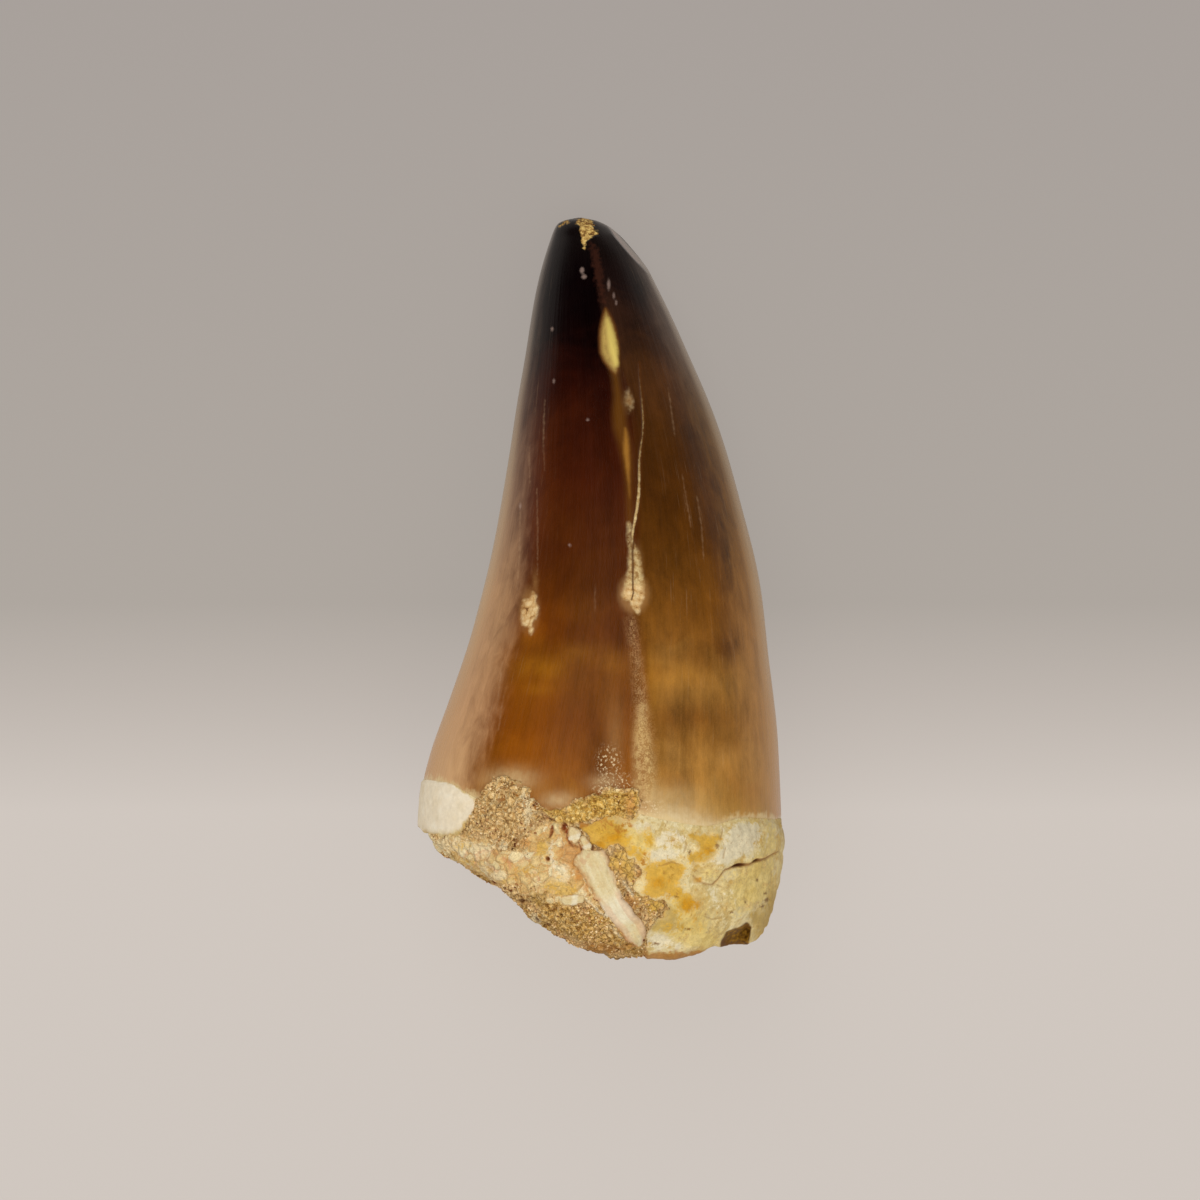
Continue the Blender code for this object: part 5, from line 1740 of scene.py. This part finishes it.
def splinterFinish():
    f = Finish("cream_bone_splinter")
    place = f.place()
    grain = f.mark("grain")
    streak = f.noise(f.stretch(grain, (3.0, 3.0, 1.0)), 1.0, 5, 0.65)
    grit = f.noise(place, 3.0, 4, 0.65)
    patch = f.noise(place, 0.9, 5, 0.7, 0.4)
    dust = f.noise(place, 7.5, 3, 0.65)
    centred = f.centred
    base = f.ramp(streak, [(0.3, (198, 170, 118)), (0.5, (208, 188, 140)), (0.7, (216, 202, 160))])
    base = f.blend(f.range(patch, 0.54, 0.64, 0.0, 0.65), base, (220, 204, 164))
    base = f.blend(f.range(patch, 0.44, 0.34, 0.0, 0.50), base, (206, 168, 106))
    pink = f.ragged("edge", patch, 1.2, -0.60, -1.0, 0.0, 0.40)
    base = f.blend(pink, base, (214, 166, 124))
    shadow = f.ragged("edge", grit, 0.8, 0.70, 1.0, 0.0, 0.6)
    base = f.blend(shadow, base, (198, 148, 92))
    soil = f.times(f.range(patch, 0.50, 0.62), f.range(f.mark("down"), 0.30, 0.10, 0.0, 0.55))
    base = f.blend(soil, base, (184, 132, 82))
    # painted shade on the splinter's right side
    rightSideShade = f.plus(f.mark("edge"), centred(patch, 1.4))
    rightSideShade = f.times(f.range(rightSideShade, 0.55, 0.95), f.range(f.mark("down"), 0.30, 0.55, 0.2, 0.8))
    base = f.blend(rightSideShade, base, (186, 126, 64))
    white = f.times(f.range(f.mark("down"), 0.42, 0.56), f.range(f.mark("down"), 0.80, 0.68))
    base = f.blend(f.times(white, f.range(streak, 0.36, 0.60, 0.6, 1.0)), base, (218, 206, 174))
    crease = f.ragged("crease", grit, 0.5, -0.10, -0.40, 0.0, 0.5)
    base = f.blend(crease, base, (206, 166, 128))
    base = f.blend(f.range(grit, 0.62, 0.74, 0.0, 0.5), base, (184, 132, 78))
    base = f.mottled(base, dust, 0.92, 1.07)
    relief = f.bump(grit, 0.06, 0.5)
    relief = f.bump(streak, 0.05, 0.4, relief)
    matt = f.range(grit, 0.3, 0.7, 0.55, 0.76, False)
    return f.settle(Base_Color=base, Roughness=matt, Normal=relief, Specular_IOR_Level=0.32)


print("crown")
crownPiece = makeCrown()
crownPiece.data.materials.append(enamelFinish())
print("root")
rootPiece = makeRoot()
rootPiece.data.materials.append(boneFinish())
print("stone")
stonePiece = makeStone()
stonePiece.data.materials.append(sandFinish())
print("grains")
grainPiece = makeGrains(stonePiece)
print("bones")
boneMaterial = splinterFinish()
bonePieces = {}
for name, part in bones.items():
    bonePieces[name] = makeBone(name, part)
    bonePieces[name].data.materials.append(boneMaterial)

for piece, nodes, slot in (
    (crownPiece, ["tooth"], "tooth_enamel"),
    (rootPiece, ["tooth"], "cream_bone"),
    (stonePiece, ["stone_matrix"], "sandy_stone"),
    (grainPiece, [], "sandy_stone"),
    (bonePieces["bone_splinter"], ["bone_splinter"], "cream_bone"),
    (bonePieces["bone_chip_upper"], ["bone_chip_upper"], "cream_bone"),
    (bonePieces["bone_chip_middle"], [], "cream_bone"),
    (bonePieces["bone_chip_lower"], ["bone_chip_lower"], "cream_bone"),
):
    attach(piece, "root")
    if nodes:
        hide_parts(*nodes)

# Floor, light and camera

studio = {
    "floorSize": 6.0,
    "sky": 0.42,
    "skyColour": (236, 236, 240),
    "aim": (0, 0, 0.01),
    "floorDiffuse": 0.15,
    "floorGlow": 1.03,
    "lamps": {
        "top": {"at": (-0.12, 0.27, 0.50), "size": (0.4, 0.4), "watts": 1.8, "glossy": False},
        "fill": {"at": (0.25, -0.25, 0.50), "size": (0.5, 0.5), "watts": 1.35, "glossy": False},
        "side": {"at": (-0.30, -0.22, 0.38), "size": (0.4, 0.4), "watts": 0.75, "glossy": False},
        "front": {"at": (0.10, -0.50, 0.28), "size": (0.4, 0.12), "watts": 0.17, "glossy": True},
    },
}


def makeFloor():
    half = studio["floorSize"] / 2
    mesh = bpy.data.meshes.new("studio_floor")
    corners = [(-half, -half, 0), (half, -half, 0), (half, half, 0), (-half, half, 0)]
    mesh.from_pydata(corners, [], [(0, 1, 2, 3)])
    floor = bpy.data.objects.new("studio_floor", mesh)
    bpy.context.scene.collection.objects.link(floor)
    f = Finish("pale_floor")
    along = f.node("ShaderNodeSeparateXYZ", Vector=f.place()).outputs["Y"]
    colour = f.ramp(f.range(along, -50, 50, smooth=False), [
        (0.0, (191, 183, 176)), (0.315, (191, 183, 176)), (0.412, (174, 166, 159)),
        (0.485, (160, 153, 146)), (1.0, (154, 147, 142)),
    ])
    # the floor glows by itself, so that only a faint shadow shows on it
    dim = f.shade(colour, studio["floorDiffuse"])
    glow = {"Emission_Color": colour, "Emission_Strength": studio["floorGlow"]}
    mesh.materials.append(f.settle(Base_Color=dim, Roughness=0.9, Specular_IOR_Level=0.1, **glow))


def makeLamp(name, facts):
    lamp = bpy.data.lights.new(name, "AREA")
    lamp.shape = "RECTANGLE"
    lamp.size, lamp.size_y = facts["size"]
    lamp.energy = facts["watts"]
    holder = bpy.data.objects.new(name, lamp)
    holder.location = facts["at"]
    aim = Vector(studio["aim"]) - Vector(facts["at"])
    holder.rotation_euler = aim.to_track_quat("-Z", "Y").to_euler()
    holder.visible_glossy = facts["glossy"]
    bpy.context.scene.collection.objects.link(holder)


def makeSky():
    world = bpy.data.worlds.new("studio_sky")
    world.use_nodes = True
    background = world.node_tree.nodes["Background"]
    background.inputs["Color"].default_value = tint(*studio["skyColour"])
    background.inputs["Strength"].default_value = studio["sky"]
    world.cycles_visibility.glossy = False
    bpy.context.scene.world = world


def makeCamera():
    lens = bpy.data.cameras.new("photo_camera")
    lens.lens, lens.sensor_width = view["lens"], view["sensor"]
    lens.clip_start, lens.clip_end = 0.01, 50.0
    camera = bpy.data.objects.new("photo_camera", lens)
    camera.location = (0, view["aimY"] * mm, (view["distance"] + view["focusHeight"]) * mm)
    bpy.context.scene.collection.objects.link(camera)
    bpy.context.scene.camera = camera


print("studio")
makeFloor()
for name, facts in studio["lamps"].items():
    makeLamp(name, facts)
makeSky()
makeCamera()
bpy.context.scene.view_settings.view_transform = "Standard"
